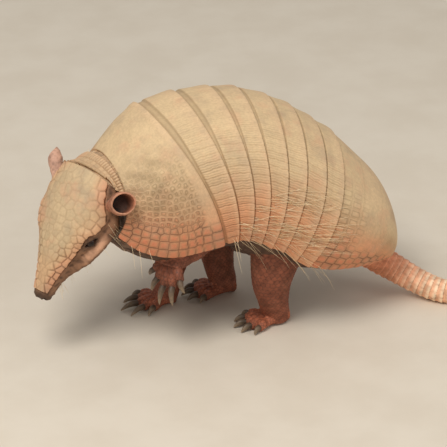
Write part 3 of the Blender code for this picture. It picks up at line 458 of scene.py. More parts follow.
def band_maker(band):
    middles = np.sort(np.array(row_sites(band + 0.55, BAND_SCUTE, draw.uniform(-0.2, 0.2)))[:, 1])
    borders = np.concatenate(([-2.1], (middles[1:] + middles[:-1]) / 2, [2.1]))
    chance = np.random.default_rng(band)
    kinds, faint = chance.random(len(middles)), chance.uniform(0.35, 1.0, len(middles))

    def relief(points, station, angle):
        wavy = angle + LINE_WAVER * wrinkles(points, 0.007, 30 + band)
        index = np.searchsorted(borders, wavy) - 1
        within = (wavy - borders[index]) / (borders[index + 1] - borders[index])
        border = np.minimum(within, 1 - within) * BAND_SCUTE
        beside = np.abs(np.abs(within - 0.5) - FIGURE_SHARE) * BAND_SCUTE
        down, place = np.abs(angle), station - band
        sharp = 0.22 + 0.78 * ease_degrees(12, 62, down)
        fine = bell(beside, 0.00042) * faint[index] * (1 - 0.6 * ease(1.65, 1.9, down))
        wide = 0.040 + 0.120 * (1 - ease_degrees(18, 70, down))
        wide = wide * (1.25 - 0.09 * min(band, 6))
        on_plate = ease(wide - 0.030, wide + 0.03, place)
        on_rim = ease(0.86, 0.94, place)
        height = sharp * (PLATE_RISE * ease(0.0, 0.0010, border) - FIGURE_DEPTH * fine * (1 - on_rim))
        lap = BAND_LIFT * ease(0.35, 0.965, place)
        rounded = -RIM_DROP * ease(0.95, 0.985, place)
        height = height * on_plate + lap + rounded - STRIP_DROP * (1 - on_plate)
        thin = 0.68 * faint[index] * bell(border, 0.00055) + 0.62 * fine
        lines = sharp * thin * on_plate * (1 - 0.75 * ease(0.70, 0.92, place))
        paler = np.sin(np.pi * np.clip(place / wide, 0.0, 1.0))
        fold = (1 - on_plate) * (0.98 - 0.50 * paler) + 0.35 * bell(place - wide, 0.02)
        return height, marked(lines, kinds[index], down_flank(angle), rim=ease(0.45, 0.92, place), fold=fold)

    return relief


bands, band_angles = [], np.linspace(-EDGE_ANGLE, EDGE_ANGLE, BAND_COLUMNS)
for band in range(1, BAND_COUNT + 1):
    stations = np.linspace(band - 0.03, band + 0.985, BAND_LINES)
    bands.append(plate_sheet(f"band_{band}_plates", stations, band_angles, band_maker(band)))
print(len(bands), "bands of", len(bands[0].data.polygons), "faces")

# %% [markdown]
# ## Pelvic shield
# Behind the bands the shell is rigid again. Its rows of scutes go on round the rump to the margin over the
# tail. They are hardly seen under the dust, and stand out only along the lower rim. Two faint lines across
# the rump are left of the first rows, and the low rear part is stained.

# %% Make the pelvic shield
PELVIC_ROWS, PELVIC_SCUTE = 11, 0.0086


def pelvic_sites():
    found = []
    for row in range(PELVIC_ROWS):
        station = LAST_LINE + (row + 0.5) * (REAR_MARGIN - LAST_LINE) / PELVIC_ROWS
        found += row_sites(station, PELVIC_SCUTE)
    return np.array(found)


pelvic = pelvic_sites()


def pelvic_relief(points, station, angle):
    height, marks = plate_relief(points, angle, pelvic, 0.03)
    down = np.abs(angle)
    dusty = ease(8.4, 9.6, station) * (1 - ease_degrees(84, 100, down))
    marks[..., (0, 3)] *= 1 - 0.86 * dusty[..., None]
    rounded = -FRONT_DROP * (ease(12.93, REAR_MARGIN, station) + 1 - ease(LAST_LINE, 8.05, station))
    lines = 0.26 * bell(station - 9.0, 0.03) + 0.18 * bell(station - 10.0, 0.03)
    low_rear = ease(9.6, 11.4, station) * ease_degrees(52, 78, down)
    stained = 0.42 * low_rear * (1 - ease_degrees(92, 106, down))
    front_fold = 0.5 * (1 - ease(LAST_LINE, 8.09, station))
    marks[..., 5] = front_fold + lines + stained * (0.5 + 0.5 * wrinkles(points, 0.02, 21))
    # Painted light: the top of the rump just behind the bands is made paler, in the cream of the rims.
    marks[..., 4] = 0.6 * ease(8.3, 9.2, station) * ease_degrees(72, 40, down)
    return height * (1 - 0.6 * dusty) + rounded, marks


stations = np.linspace(LAST_LINE, REAR_MARGIN, PELVIC_LINES)
pelvic_shield = plate_sheet("pelvic_shield_plates", stations, angles, pelvic_relief)
print("pelvic shield:", len(pelvic), "scutes")

# %% [markdown]
# ## The head as a surface
# The head is long and flat on top and hangs with its nose near the ground. Its surface has a station from
# the nose (0) to the back of the skull (9) and an angle from the middle of the forehead round to the chin.

# %% Head rows: station, top (behind nose, up), underside (behind nose, up), half width
HEAD = (
    (0.0, 0.0005, -0.0035, 0.0015, -0.0125, 0.0065),
    (1.0, 0.0040, 0.0000, 0.0050, -0.0155, 0.0092),
    (2.0, 0.0140, 0.0025, 0.0140, -0.0175, 0.0112),
    (3.0, 0.0300, 0.0060, 0.0280, -0.0210, 0.0150),
    (4.0, 0.0480, 0.0095, 0.0440, -0.0255, 0.0215),
    (5.0, 0.0640, 0.0120, 0.0570, -0.0300, 0.0290),
    (6.0, 0.0780, 0.0130, 0.0700, -0.0330, 0.0345),
    (7.0, 0.0950, 0.0130, 0.0830, -0.0350, 0.0375),
    (8.0, 0.1130, 0.0110, 0.0950, -0.0355, 0.0380),
    (9.0, 0.1310, 0.0060, 0.1070, -0.0350, 0.0355),
)
HEAD_PITCH, HEAD_YAW, HEAD_ROLL = (math.radians(turn) for turn in (61, 28, 8))
HEAD_NOSE = Vector((-0.2140, -0.0625, 0.0675)) - Vector(CENTRE)


def head_frame():
    """Matrix from the head's frame (behind the nose, right, up) to the model's."""
    level = math.cos(HEAD_PITCH)
    ahead = Vector((-level * math.cos(HEAD_YAW), -level * math.sin(HEAD_YAW), -math.sin(HEAD_PITCH)))
    right = Vector((-math.sin(HEAD_YAW), math.cos(HEAD_YAW), 0.0))
    turn = Matrix((-ahead, right, right.cross(ahead))).transposed() @ Matrix.Rotation(HEAD_ROLL, 3, "X")
    return Matrix.Translation(HEAD_NOSE) @ turn.to_4x4()


HEAD_TO_MODEL = head_frame()
HEAD_TURN, HEAD_PLACE = np.array(HEAD_TO_MODEL.to_3x3()), np.array(HEAD_TO_MODEL.translation)


def head_surface(station, angle):
    """Points of the head by station and angle from the middle of the forehead."""
    station, angle = arrays(station, angle)
    top_s, top_u, low_s, low_u, half_width = np.moveaxis(between(HEAD, station), -1, 0)
    behind = (top_s + low_s) / 2 + (top_s - low_s) / 2 * np.cos(angle)
    up = (top_u + low_u) / 2 + (top_u - low_u) / 2 * np.cos(angle)
    local = np.stack((behind, half_width * np.sin(angle), up), axis=-1)
    return local @ HEAD_TURN.T + HEAD_PLACE


def lifted(surface, station, angle, lift):
    return surface(station, angle) + normals(surface, station, angle) * np.asarray(lift, float)[..., None]


head_length = np.linalg.norm(head_surface(9.0, 0.0) - head_surface(0.0, 0.0))
print("length of the head:", round(float(head_length), 3), "m")

# %% [markdown]
# ## Head shield
# A shield of fixed plates covers the head from the nose to the nape. The plates are large at the crown and
# over the eyes, and small on the snout, and the rim follows them in scallops. Above each eye the shield
# bulges into a brow. The sheet is the head's own surface, cut at an edge whose angle is given along the
# head.

# %% Make the head shield
HEAD_SHIELD = tuple((station, math.radians(turn)) for station, turn in (
    (1.5, 56), (3.0, 70), (4.0, 73), (5.0, 67), (5.7, 63),
    (6.4, 76), (7.2, 82), (7.8, 65), (8.4, 57), (9.0, 52),
))
HEAD_PLATE_ROWS = (1.9, 2.4, 2.9, 3.35, 3.8, 4.25, 4.7, 5.1, 5.55, 6.0, 6.5, 7.0, 7.55, 8.1, 8.7)


def head_sites():
    found = []
    for row, station in enumerate(HEAD_PLATE_ROWS):
        edge = float(between(HEAD_SHIELD, station)[0])
        size = 0.0052 + 0.0042 * float(ease(2.5, 8.0, station))
        _, arc = even(lambda angle: head_surface(station, angle), -edge, edge, 1)
        count = max(round(arc / size), 3) + row % 2
        at, _ = even(lambda angle: head_surface(station, angle), -edge, edge, count)
        for angle in at:
            found.append((station + draw.uniform(-0.15, 0.15), angle + draw.uniform(-0.075, 0.075)))
    return np.array(found)


head_plate_sites = head_sites()
SCALLOPS = ((0.012, 9.0), (0.014, 14.3))
BROW_RISE = 0.0019
HEAD_SHIELD_THICKNESS = 0.0026
HEAD_SHIELD_FRONT, HEAD_SHIELD_REAR = 1.5, 8.98


def shield_edge(station):
    """Angle of the head shield's edge along the head."""
    return between(HEAD_SHIELD, np.clip(station, HEAD_SHIELD[0][0], HEAD_SHIELD[-1][0]))[..., 0]


def head_shield_surface(station, share):
    """The head shield's surface, by station and share of the way from the middle to its edge."""
    edge = shield_edge(station)
    scallops = sum(deep * np.cos(station * turn) for deep, turn in SCALLOPS)
    return head_surface(station, share * edge * (1 + scallops))


def head_relief(points, station, share):
    owner, border = plates(points, head_surface(head_plate_sites[:, 0], head_plate_sites[:, 1]))
    side = np.abs(share)
    on_snout = 0.95 * ease(5.6, 4.0, station) * ease(0.10, 0.5, side)
    clear = np.maximum(0.26 + 0.60 * ease(0.45, 0.92, side), on_snout)
    brow = ease(0.62, 0.86, side) * ease(4.7, 5.4, station) * ease(7.2, 6.4, station)
    kinds = np.random.default_rng(3).random(len(head_plate_sites))[owner]
    height = clear * 0.0008 * ease(0.0, 0.0011, border) + 0.0003 * clear * np.minimum(border / 0.003, 1.0)
    height = height + BROW_RISE * brow - 0.0012 * ease(0.96, 1.0, side)
    groove = clear * bell(border, 0.00065)
    pink = np.clip(0.62 * ease(0.30, 1.0, side) + 0.42 * ease(4.6, 2.6, station), 0, 1)
    return height, marked(groove, kinds, pink)


stations, shares = np.linspace(HEAD_SHIELD_FRONT, HEAD_SHIELD_REAR, 187), np.linspace(-1.0, 1.0, 145)
head_shield = plate_sheet(
    "head_shield_plates", stations, shares, head_relief, HEAD_SHIELD_THICKNESS, head_shield_surface,
)
print("head shield:", len(head_plate_sites), "plates")

# %% [markdown]
# ## Neck and nuchal band
# Between the skull and the shell the neck carries one short band of plates. Two worn rows come first, and a
# comb of narrow plates with pale ends stands along the rear rim.

# %% Neck surface and its band
def neck_ends():
    """Centre, up and right half axes of the neck at the torso and at the head."""
    front = 0.35
    edges = carapace(front, np.array((-EDGE_ANGLE, EDGE_ANGLE)))
    low = edges.mean(axis=0)
    up = unit(carapace(front, 0.0) - low)
    across = unit(carapace(front, 1.5) - carapace(front, -1.5))
    near = (low + up * 0.026, up * 0.045, across * 0.054)
    head_top, head_low = head_surface(9.0, 0.0), head_surface(9.0, math.pi)
    wide = (head_surface(9.0, math.pi / 2) - head_surface(9.0, -math.pi / 2)) / 2
    return near, ((head_top + head_low) / 2, (head_top - head_low) / 2 * 0.95, wide * 0.96)


TORSO_END, HEAD_END = neck_ends()


def neck_surface(station, angle):
    """Points of the neck, from the head (0) to the torso (1)."""
    station, angle = arrays(station, angle)
    share, blend = station[..., None], (station * station * (3 - 2 * station))[..., None]
    centre, up, across = (
        at_head + (at_torso - at_head) * way
        for at_head, at_torso, way in zip(HEAD_END, TORSO_END, (share, blend, blend))
    )
    return centre + up * np.cos(angle)[..., None] + across * np.sin(angle)[..., None]


NUCHAL_THICKNESS = 0.0024


def nuchal_surface(station, angle):
    return lifted(neck_surface, station, angle, NUCHAL_THICKNESS + 0.0008)


NUCHAL_EDGE = math.radians(58)
NUCHAL_FLANK = 0.25
NUCHAL_ROWS = ((0.20, 0.95, 13), (0.30, 1.0, 15), (0.47, 1.0, 29))


def nuchal_relief(points, station, angle):
    """Two worn rows of plates, then the comb along the rear rim."""
    at = np.array([
        (row, turn) for row, edge, count in NUCHAL_ROWS for turn in np.linspace(-edge, edge, count)
    ])
    owner, border = plates(points, nuchal_surface(at[:, 0], at[:, 1]))
    kinds = np.random.default_rng(5).random(len(at))[owner]
    comb = ease(0.35, 0.40, station)
    height = (0.0004 + 0.0006 * comb) * ease(0.0, 0.0010, border) + 0.0008 * ease(0.38, 0.50, station)
    height = height - 0.0014 * ease(0.54, 0.57, station)
    groove = (0.30 + 0.32 * comb) * bell(border, 0.00055)
    return height, marked(groove, kinds, NUCHAL_FLANK, rim=ease(0.44, 0.52, station))


stations, nuchal_angles = np.linspace(0.14, 0.57, 43), np.linspace(-NUCHAL_EDGE, NUCHAL_EDGE, 241)
nuchal_band = plate_sheet(
    "nuchal_band_plates", stations, nuchal_angles, nuchal_relief, NUCHAL_THICKNESS, nuchal_surface,
)
print("nuchal band:", [round(side, 3) for side in nuchal_band.dimensions])

# %% [markdown]
# ## Flesh, part by part
# The skin is one closed surface. It starts as closed lofts of the trunk, neck, head, ears, legs, toes and
# tail that run into each other. Each loft is finer than the solids and already carries its scales and
# folds. A voxel remesh then melts all of them into one skin, and each point of it takes colour and marks
# from the nearest point of the lofts.

# %% Collect lofts with their colours
lofts = []


def tube_points(grid):
    """Points of a tube, and after them the middle points that close its two ends."""
    return np.concatenate((grid.reshape(-1, 3), grid[0].mean(axis=0)[None], grid[-1].mean(axis=0)[None]))


def tube_ends(rows, columns):
    """Triangles that close both ends of a tube round its two middle points."""
    ring = np.arange(columns)
    after, last = (ring + 1) % columns, (rows - 1) * columns
    front = np.stack((after, ring, np.full(columns, rows * columns)), axis=-1)
    back = np.stack((last + ring, last + after, np.full(columns, rows * columns + 1)), axis=-1)
    return np.concatenate((front, back))


def add_loft(grid, colour, groove):
    """Keeps a closed tube of points, its colour and how deep each point lies in a groove."""
    rows, columns = grid.shape[:2]
    tint = np.broadcast_to(np.asarray(colour, float), (rows, columns, 3)).reshape(-1, 3)
    deep = np.broadcast_to(np.asarray(groove, float), (rows, columns)).reshape(-1)
    tint, deep = (np.concatenate((values, values[:1], values[-1:])) for values in (tint, deep))
    lofts.append((tube_points(grid), quads(rows, columns, wrap=True), tube_ends(rows, columns), tint, deep))


def turns(count):
    return np.arange(count) * 2 * math.pi / count


# The trunk's tint is painted shade: the skin under the shell is made very dark, darker than neck and legs, as
# it lies in shade there.
TRUNK_SHADE_TINT, NECK_TINT, FACE_TINT = (0.085, 0.040, 0.022), (0.165, 0.092, 0.056), (0.250, 0.124, 0.066)
NAPE_TINT, LID_TINT = (0.52, 0.35, 0.21), (0.72, 0.40, 0.25)
LEG_TINT, FOOT_TINT = (0.225, 0.064, 0.030), (0.42, 0.125, 0.060)
print("folds between", wrinkles(np.random.default_rng(0).random((400, 3)), 0.3, 1).round(2)[:4])

# %% Trunk
BELLY = (
    (0.0, 0.013), (1.0, 0.032), (3.0, 0.042), (5.0, 0.038),
    (7.0, 0.028), (9.0, 0.020), (11.0, 0.018), (13.0, 0.010),
)
BED = -SHELL_THICKNESS - 0.0006
TRUNK_START, TRUNK_END = 0.35, 12.95


def trunk_grid(rows=230, arc_columns=150, belly_columns=110):
    """The trunk: the carapace's arc, sunk under the shell, closed by a belly with soft cross folds."""
    stations = np.linspace(TRUNK_START, TRUNK_END, rows)
    arc = np.linspace(-EDGE_ANGLE, EDGE_ANGLE, arc_columns)
    station, angle = np.meshgrid(stations, arc, indexing="ij")
    back = lifted(carapace, station, angle, BED)
    across = (np.arange(1, belly_columns) / belly_columns)[None, :, None]
    left, right = back[:, :1], back[:, -1:]
    down = unit((left + right) / 2 - carapace(stations, np.zeros(rows))[:, None])
    depth = between(BELLY, stations)[:, 0][:, None, None]
    belly = right + (left - right) * across + down * depth * np.sin(np.pi * across) ** 0.6
    folds = 0.0008 * np.sin(stations * 11.0)[:, None] + 0.0006 * wrinkles(belly, 0.02, 4)
    belly = belly + down * folds[..., None] * np.sin(np.pi * across)
    return np.concatenate((back, belly), axis=1)


# Painted shade: the trunk takes its very dark tint and an even groove of 0.2 all over, as it lies in the
# shell's shade.
add_loft(trunk_grid(), TRUNK_SHADE_TINT, 0.2)
print("trunk loft:", len(lofts[-1][0]), "points")

# %% Neck, with folds of loose skin
station, angle = np.meshgrid(np.linspace(-0.12, 1.15, 110), turns(220), indexing="ij")
neck_fold = wrinkles(neck_surface(station, angle), 0.011, 8)
behind_comb = 0.0032 * ease(0.50, 0.57, station) * (1 - ease(0.80, 0.95, station))
neck_lift = behind_comb - 0.0004 + 0.0007 * neck_fold * ease(0.0, 0.15, station)
neck_grid = lifted(neck_surface, station, angle, neck_lift)
nape = ease(1.25, 0.85, np.minimum(angle, 2 * math.pi - angle))[..., None]
neck_tint = np.array(NECK_TINT) * (1 - nape) + np.array(NAPE_TINT) * nape
add_loft(neck_grid, neck_tint, ease(-0.1, -0.9, neck_fold) * (1 - 0.8 * nape[..., 0]))
print("neck loft:", len(lofts[-1][0]), "points")

# %% [markdown]
# ### The face
# Below the head shield the face is bare, dark and wrinkled. The eye lies in a slanting almond of two lids
# under the brow, a pale fold runs below it, and the lips meet in a line that runs back from under the nose.
# All of them are pushed in and out of the head's surface by their distance from a few drawn lines and
# points, which is easier to steer than sculpting.

# %% Eye places, and curves drawn on the head
EYE_STATION, EYE_ANGLE = 5.55, math.radians(82)
EYE_RADIUS, EYE_DEPTH, EYE_SLANT = 0.0046, 0.0022, 0.35
MOUTH = tuple((station, math.radians(turn)) for station, turn in (
    (4.4, 112), (3.4, 117), (2.5, 124), (1.7, 136), (1.3, 158), (1.25, 180),
))
NOSTRIL_STATION, NOSTRIL_ANGLE = 0.25, math.radians(55)
NOSTRIL_SIZE, NOSTRIL_PIT = 0.0014, 0.0024
LIP_CUT, LIP_WIDTH = 0.0014, 0.0007
LID_OPENING, LID_HALF_LENGTH, EYE_PIT = 0.0027, 0.0082, 0.0046
JAW_BULGE, UNDER_SHIELD = 0.0075, -0.0030
# The warm tone added under the chin is painted light.
CHIN_PAINTED_LIGHT = (0.05, 0.02, 0.012)


def eye_frame(side):
    """Centre of the eyeball and its axes: along the lids toward the ear, up, and outward."""
    outward = normals(head_surface, np.array(EYE_STATION), np.array(side * EYE_ANGLE))
    centre = head_surface(EYE_STATION, side * EYE_ANGLE) - outward * EYE_DEPTH
    along = head_surface(EYE_STATION + 0.2, side * EYE_ANGLE) - head_surface(EYE_STATION, side * EYE_ANGLE)
    up = head_surface(EYE_STATION, side * (EYE_ANGLE - 0.05)) - head_surface(EYE_STATION, side * EYE_ANGLE)
    up = unit(up - outward * (up @ outward))
    along = unit(along - outward * (along @ outward) - up * (along @ up))
    return centre, unit(along - up * EYE_SLANT), unit(up + along * EYE_SLANT), outward


def distance_to_line(points, line):
    """Distance of each point to a line of points."""
    best = np.full(points.shape[:-1], np.inf)
    for start, end in zip(line, line[1:]):
        step = np.clip((points - start) @ (end - start) / ((end - start) @ (end - start)), 0, 1)
        best = np.minimum(best, np.linalg.norm(points - start - step[..., None] * (end - start), axis=-1))
    return best


print("eye centre on the near side:", eye_frame(-1)[0].round(3))

# %% [markdown]
# ### Mouth, nostrils and lids
# A groove is a dip that fades with the distance from a line, and a lid is a low ridge beside such a dip. Two
# functions press these forms into the head and set groove and tint of the same points, so that shape and
# colour agree.

# %% The lips' line and a nostril
def cut_mouth(base, height, groove, side):
    """Height and groove of the head with the lips and the nostril of one side."""
    station, angle = np.array(MOUTH).T
    away = distance_to_line(base, head_surface(station, side * angle))
    height = height - LIP_CUT * bell(away, LIP_WIDTH) + 0.0005 * bell(away - 0.002, 0.0011)
    groove = np.maximum(groove, bell(away, 0.0009))
    away = np.linalg.norm(base - head_surface(NOSTRIL_STATION, side * NOSTRIL_ANGLE), axis=-1)
    height = height - NOSTRIL_PIT * bell(away, NOSTRIL_SIZE, 4) + 0.0005 * bell(away - 0.0026, 0.0009)
    return height, np.maximum(groove, bell(away, 0.0015, 4))


lips = head_surface(*np.array(MOUTH).T)
print("lips of one side:", round(float(np.linalg.norm(np.diff(lips, axis=0), axis=1).sum()) * 1000), "mm")

# %% An eye between its lids
def set_eye(base, height, groove, tint, side):
    """The same with an eye's pit, the rims of its lids, the creases beside them and the pale fold below."""
    centre, along, up, out = eye_frame(side)
    spot = base - centre
    long, high = spot @ along, spot @ up
    facing = (spot @ out) > -0.012
    inside = LID_OPENING * np.clip(1 - (long / LID_HALF_LENGTH) ** 2, 0, 1) - np.abs(high - 0.0002)
    near = facing * bell(np.hypot(long / 0.011, high / 0.0085), 1.0, 4)
    rim = bell(inside, 0.0009) * (np.abs(long) < 0.0092)
    fold = bell(high + 0.0068 - 0.30 * long, 0.0023, 4) * bell(long + 0.001, 0.0135, 4) * facing
    crease = near * (bell(high - 0.0031, 0.0005) + bell(high + 0.0028, 0.0005))
    socket_shade = facing * bell(np.hypot(long / 0.0125, (high - 0.0008) / 0.0062), 1.0, 4)
    height = height + 0.0014 * fold
    height = np.where(facing & (inside > 0), height - EYE_PIT * ease(0.0, 0.0010, inside), height)
    height = height + near * (0.0010 * rim + 0.0013 * bell(high - 0.0048, 0.0014))
    height = height + near * 0.0007 * bell(high + 0.0042, 0.0010)
    height = height - 0.0006 * crease
    groove = np.maximum(groove, crease * 0.8) * (1 - 0.8 * fold)
    groove = np.where(facing & (inside > 0.0002), 1.0, groove)
    tint = tint + (np.array(LID_TINT) - tint) * (0.9 * fold)[..., None]
    # Painted shade: the skin round the eye, under the brow, is darkened, but not on the pale fold.
    tint = tint * (1 - 0.55 * socket_shade * (1 - fold))[..., None]
    return height, groove, tint


print("the lids open by", round(2 * LID_OPENING * 1000, 1), "mm")

# %% Head with the folds of the snout, the jaw, the mouth and the eyes
def head_grid(rows=300, columns=330):
    station, angle = np.meshgrid(np.linspace(0.0, 9.0, rows), turns(columns), indexing="ij")
    angle = np.where(angle > math.pi, angle - 2 * math.pi, angle)
    base, outward = head_surface(station, angle), normals(head_surface, station, angle)
    turn, edge = np.abs(angle), shield_edge(station)
    bare = ease(0.0, 0.10, turn - edge - 0.02) * ease(1.2, 1.5, station) + (1 - ease(1.2, 1.5, station))
    height = np.where((turn < edge + 0.02) & (station > 1.45), UNDER_SHIELD, 0.0)
    folds = wrinkles(base, 0.0052, 2)
    height = height + bare * 0.00034 * folds * (0.6 + 0.6 * ease(5.4, 3.8, station))
    jaw = ease(2.4, 4.6, station) * ease(8.6, 7.2, station)
    jaw = jaw * ease_degrees(90, 110, turn) * ease_degrees(168, 140, turn)
    height = height + JAW_BULGE * jaw
    groove = bare * ease(-0.1, -0.9, folds) * 0.8
    tint = np.broadcast_to(np.array(FACE_TINT), (*station.shape, 3)).copy()
    for side in (-1, 1):
        height, groove = cut_mouth(base, height, groove, side)
        height, groove, tint = set_eye(base, height, groove, tint, side)
    tint = tint * (1 - 0.70 * ease(1.9, 1.1, station)[..., None])
    # Painted light: a warm glow is added to the underside of the chin and throat.
    tint = tint + ease_degrees(125, 150, turn)[..., None] * np.array(CHIN_PAINTED_LIGHT)
    return base + outward * height[..., None], tint, np.clip(groove, 0, 1)


add_loft(*head_grid())
print("head loft:", len(lofts[-1][0]), "points")

# %% [markdown]
# ### Ears
# An armadillo's ear is a thin leather funnel, closed at its root and cut open on the outer side. It is
# lofted from rings up the outside, over the rim and down the inside, so it has a real wall.

# %% Ears
EAR_ANGLE = math.radians(80)
EAR_LENGTH, EAR_NOTCH, EAR_BASE_RADIUS, EAR_WALL = 0.036, 0.024, 0.0050, 0.0017
EAR_SINK, EAR_FLARE = 0.003, 1.6
# The last column is each ear's outer colour, with painted light and shade: the near ear, on the left, is
# painted darker than the far one.
EARS = (
    (-1, 8.1, 0.0112, 1.0, (0.36, -0.82, 0.45), (0.56, -0.29, -0.77), (0.40, 0.17, 0.10)),
    (1, 8.15, 0.0072, 2.8, (0.66, 0.69, -0.26), (0.60, -0.35, -0.60), (0.62, 0.36, 0.26)),
)
EAR_INSIDE, EAR_RIM = np.array((0.58, 0.22, 0.12)), np.array((0.52, 0.25, 0.15))
EAR_FLOOR = 0.50
EAR_OUTER_ROWS, EAR_INNER_ROWS, EAR_COLUMNS = 60, 50, 90
EAR_RIM_ROWS = EAR_OUTER_ROWS + 3


def ear_ring(shares, wall, turn, mouth_radius, bend_in, root, axis, back, across):
    """Rings of an ear at shares of its length, drawn in by the wall's thickness."""
    length = (EAR_NOTCH + (EAR_LENGTH - EAR_NOTCH) * ((1 + np.cos(turn)) / 2) ** 0.8) * shares
    opened, closing = np.minimum(length / EAR_NOTCH, 1.0), np.maximum(length / EAR_LENGTH - 0.55, 0.0)
    radius = EAR_BASE_RADIUS + (mouth_radius - EAR_BASE_RADIUS) * np.sin(opened**EAR_FLARE * math.pi / 2)
    radius = (radius - mouth_radius * bend_in * closing**2 - wall)[..., None]
    around = back * np.cos(turn)[..., None] + across * np.sin(turn)[..., None]
    return root + axis * length[..., None] + around * radius


for side, station, mouth_radius, bend_in, lean, long_side, ear_tint_with_painted_light in EARS:
    root = lifted(head_surface, station, side * EAR_ANGLE, -EAR_SINK)
    axis = unit(HEAD_TURN @ np.array(lean))
    back = HEAD_TURN @ np.array(long_side)
    back = unit(back - axis * (back @ axis))
    frame_of_ear = (mouth_radius, bend_in, root, axis, back, np.cross(axis, back))
    shares = np.concatenate((
        np.linspace(0.0, 0.99, EAR_OUTER_ROWS),
        (1.0, 1.004, 1.0),
        np.linspace(1.0, EAR_FLOOR, EAR_INNER_ROWS),
    ))
    walls = EAR_WALL * np.concatenate((np.zeros(EAR_OUTER_ROWS), (0.15, 0.5, 0.85), np.ones(EAR_INNER_ROWS)))
    row, turn = np.meshgrid(np.arange(len(shares)), turns(EAR_COLUMNS), indexing="ij")
    grid = ear_ring(shares[row], walls[row], turn, *frame_of_ear)
    # Painted shade: the inside of the ear darkens the deeper it lies in the funnel.
    inner_painted_shade = np.linspace(1.25, 0.12, EAR_INNER_ROWS)[:, None]
    colour = np.concatenate((np.tile(ear_tint_with_painted_light, (EAR_RIM_ROWS, 1)), EAR_INSIDE * inner_painted_shade))[:, None]
    at_rim = ease(EAR_OUTER_ROWS - 4, EAR_OUTER_ROWS, row) * ease(EAR_RIM_ROWS + 2.5, EAR_RIM_ROWS - 0.5, row)
    colour = colour + (EAR_RIM - colour) * at_rim[..., None]
    around = unit(grid - grid.mean(axis=1, keepdims=True))
    # Painted shade: inside the ear, the wall on the side toward the head is darkened.
    hollow_shade = ease(EAR_RIM_ROWS - 1, EAR_RIM_ROWS + 9, row) * ease(-0.60, 0.40, around @ FORWARD)
    colour *= 1 - 0.85 * hollow_shade[..., None]
    pebbles = wrinkles(grid, 0.0040, 12)
    grid += 0.0002 * (pebbles * (row < EAR_OUTER_ROWS))[..., None] * around
    add_loft(grid, colour, ease(0.0, -1.0, pebbles) * 0.35)
print("ear loft:", len(lofts[-1][0]), "points")

# %% [markdown]
# ### Legs, feet and toes
# The legs are short columns with rows of small scales, and the toes are rounded and end square where the
# claws leave them. Each scale is a plate of its own, laid in staggered rings round the limb.

# %% Limbs with scales
FORE_LEFT = (
    (-0.046, -0.046, 0.124, 0.0180, 0.0200), (-0.056, -0.055, 0.113, 0.0165, 0.0175),
    (-0.065, -0.060, 0.104, 0.0150, 0.0150), (-0.073, -0.062, 0.099, 0.0138, 0.0128),
    (-0.080, -0.062, 0.093, 0.0130, 0.0108),
)
FORE_RIGHT = (
    (-0.046, 0.026, 0.120, 0.0180, 0.0220), (-0.052, 0.030, 0.092, 0.0175, 0.0210),
    (-0.058, 0.031, 0.062, 0.0155, 0.0175), (-0.067, 0.029, 0.034, 0.0130, 0.0138),
    (-0.072, 0.027, 0.016, 0.0132, 0.0135), (-0.076, 0.026, 0.004, 0.0130, 0.0140),
)
HIND_LEFT = (
    (0.026, -0.044, 0.108, 0.020, 0.028), (0.019, -0.049, 0.080, 0.0185, 0.025),
    (0.015, -0.049, 0.052, 0.0155, 0.0195), (0.018, -0.043, 0.028, 0.0128, 0.0150),
    (0.021, -0.038, 0.012, 0.0120, 0.0138), (0.020, -0.037, 0.004, 0.0115, 0.0145),
)
HIND_RIGHT = (
    (0.010, 0.040, 0.108, 0.020, 0.026), (-0.008, 0.044, 0.080, 0.0185, 0.0230),
    (-0.018, 0.041, 0.052, 0.0150, 0.0185), (-0.017, 0.037, 0.028, 0.0128, 0.0148),
    (-0.014, 0.034, 0.012, 0.0120, 0.0135), (-0.016, 0.033, 0.004, 0.0115, 0.0142),
)
FORE_TOES = tuple((math.radians(turn), reach, claw) for turn, reach, claw in (
    (34, 0.013, 0.011), (15, 0.019, 0.017), (-2, 0.020, 0.018), (-20, 0.016, 0.014), (-42, 0.011, 0.009),
))
HIND_TOES = tuple((math.radians(turn), reach, claw) for turn, reach, claw in (
    (34, 0.013, 0.008), (14, 0.017, 0.011), (-2, 0.018, 0.012), (-18, 0.016, 0.010), (-38, 0.011, 0.007),
))
FORE_SOLE_LEFT = ((-0.076, -0.057, 0.0070, 0.0112, 0.0080), (-0.086, -0.065, 0.0065, 0.0130, 0.0072))
FORE_SOLE_RIGHT = ((-0.070, 0.026, 0.0070, 0.0105, 0.0075), (-0.083, 0.024, 0.0065, 0.0130, 0.0072))
HIND_SOLE_LEFT = (
    (0.034, -0.035, 0.0080, 0.0080, 0.0072), (0.021, -0.037, 0.0080, 0.0105, 0.0080),
    (0.009, -0.039, 0.0065, 0.0130, 0.0070),
)
HIND_SOLE_RIGHT = (
    (-0.002, 0.034, 0.0080, 0.0080, 0.0072), (-0.015, 0.033, 0.0080, 0.0105, 0.0080),
    (-0.026, 0.032, 0.0065, 0.0130, 0.0070),
)
ON_THE_FLOOR, RAISED_PAW = (0.0, 0.0), (0.0825, math.radians(60))
LEGS = (
    ("leg_front_left", FORE_LEFT, (-0.78, -0.62), FORE_TOES, FORE_SOLE_LEFT, RAISED_PAW),
    ("leg_front_right", FORE_RIGHT, (-1.0, -0.30), FORE_TOES, FORE_SOLE_RIGHT, ON_THE_FLOOR),
    ("leg_hind_left", HIND_LEFT, (-1.0, -0.18), HIND_TOES, HIND_SOLE_LEFT, ON_THE_FLOOR),
    ("leg_hind_right", HIND_RIGHT, (-1.0, -0.06), HIND_TOES, HIND_SOLE_RIGHT, ON_THE_FLOOR),
)
TOE_RADIUS, CLAW_RADIUS, TOE_HEIGHT, TOE_KNUCKLE, TOE_SPREAD = 0.0048, 0.0033, 0.0048, 0.0012, 0.014
CLAW_GAP, CLAW_TIP_HEIGHT, CLAW_ARCH = 0.0005, 0.0010, 0.0020
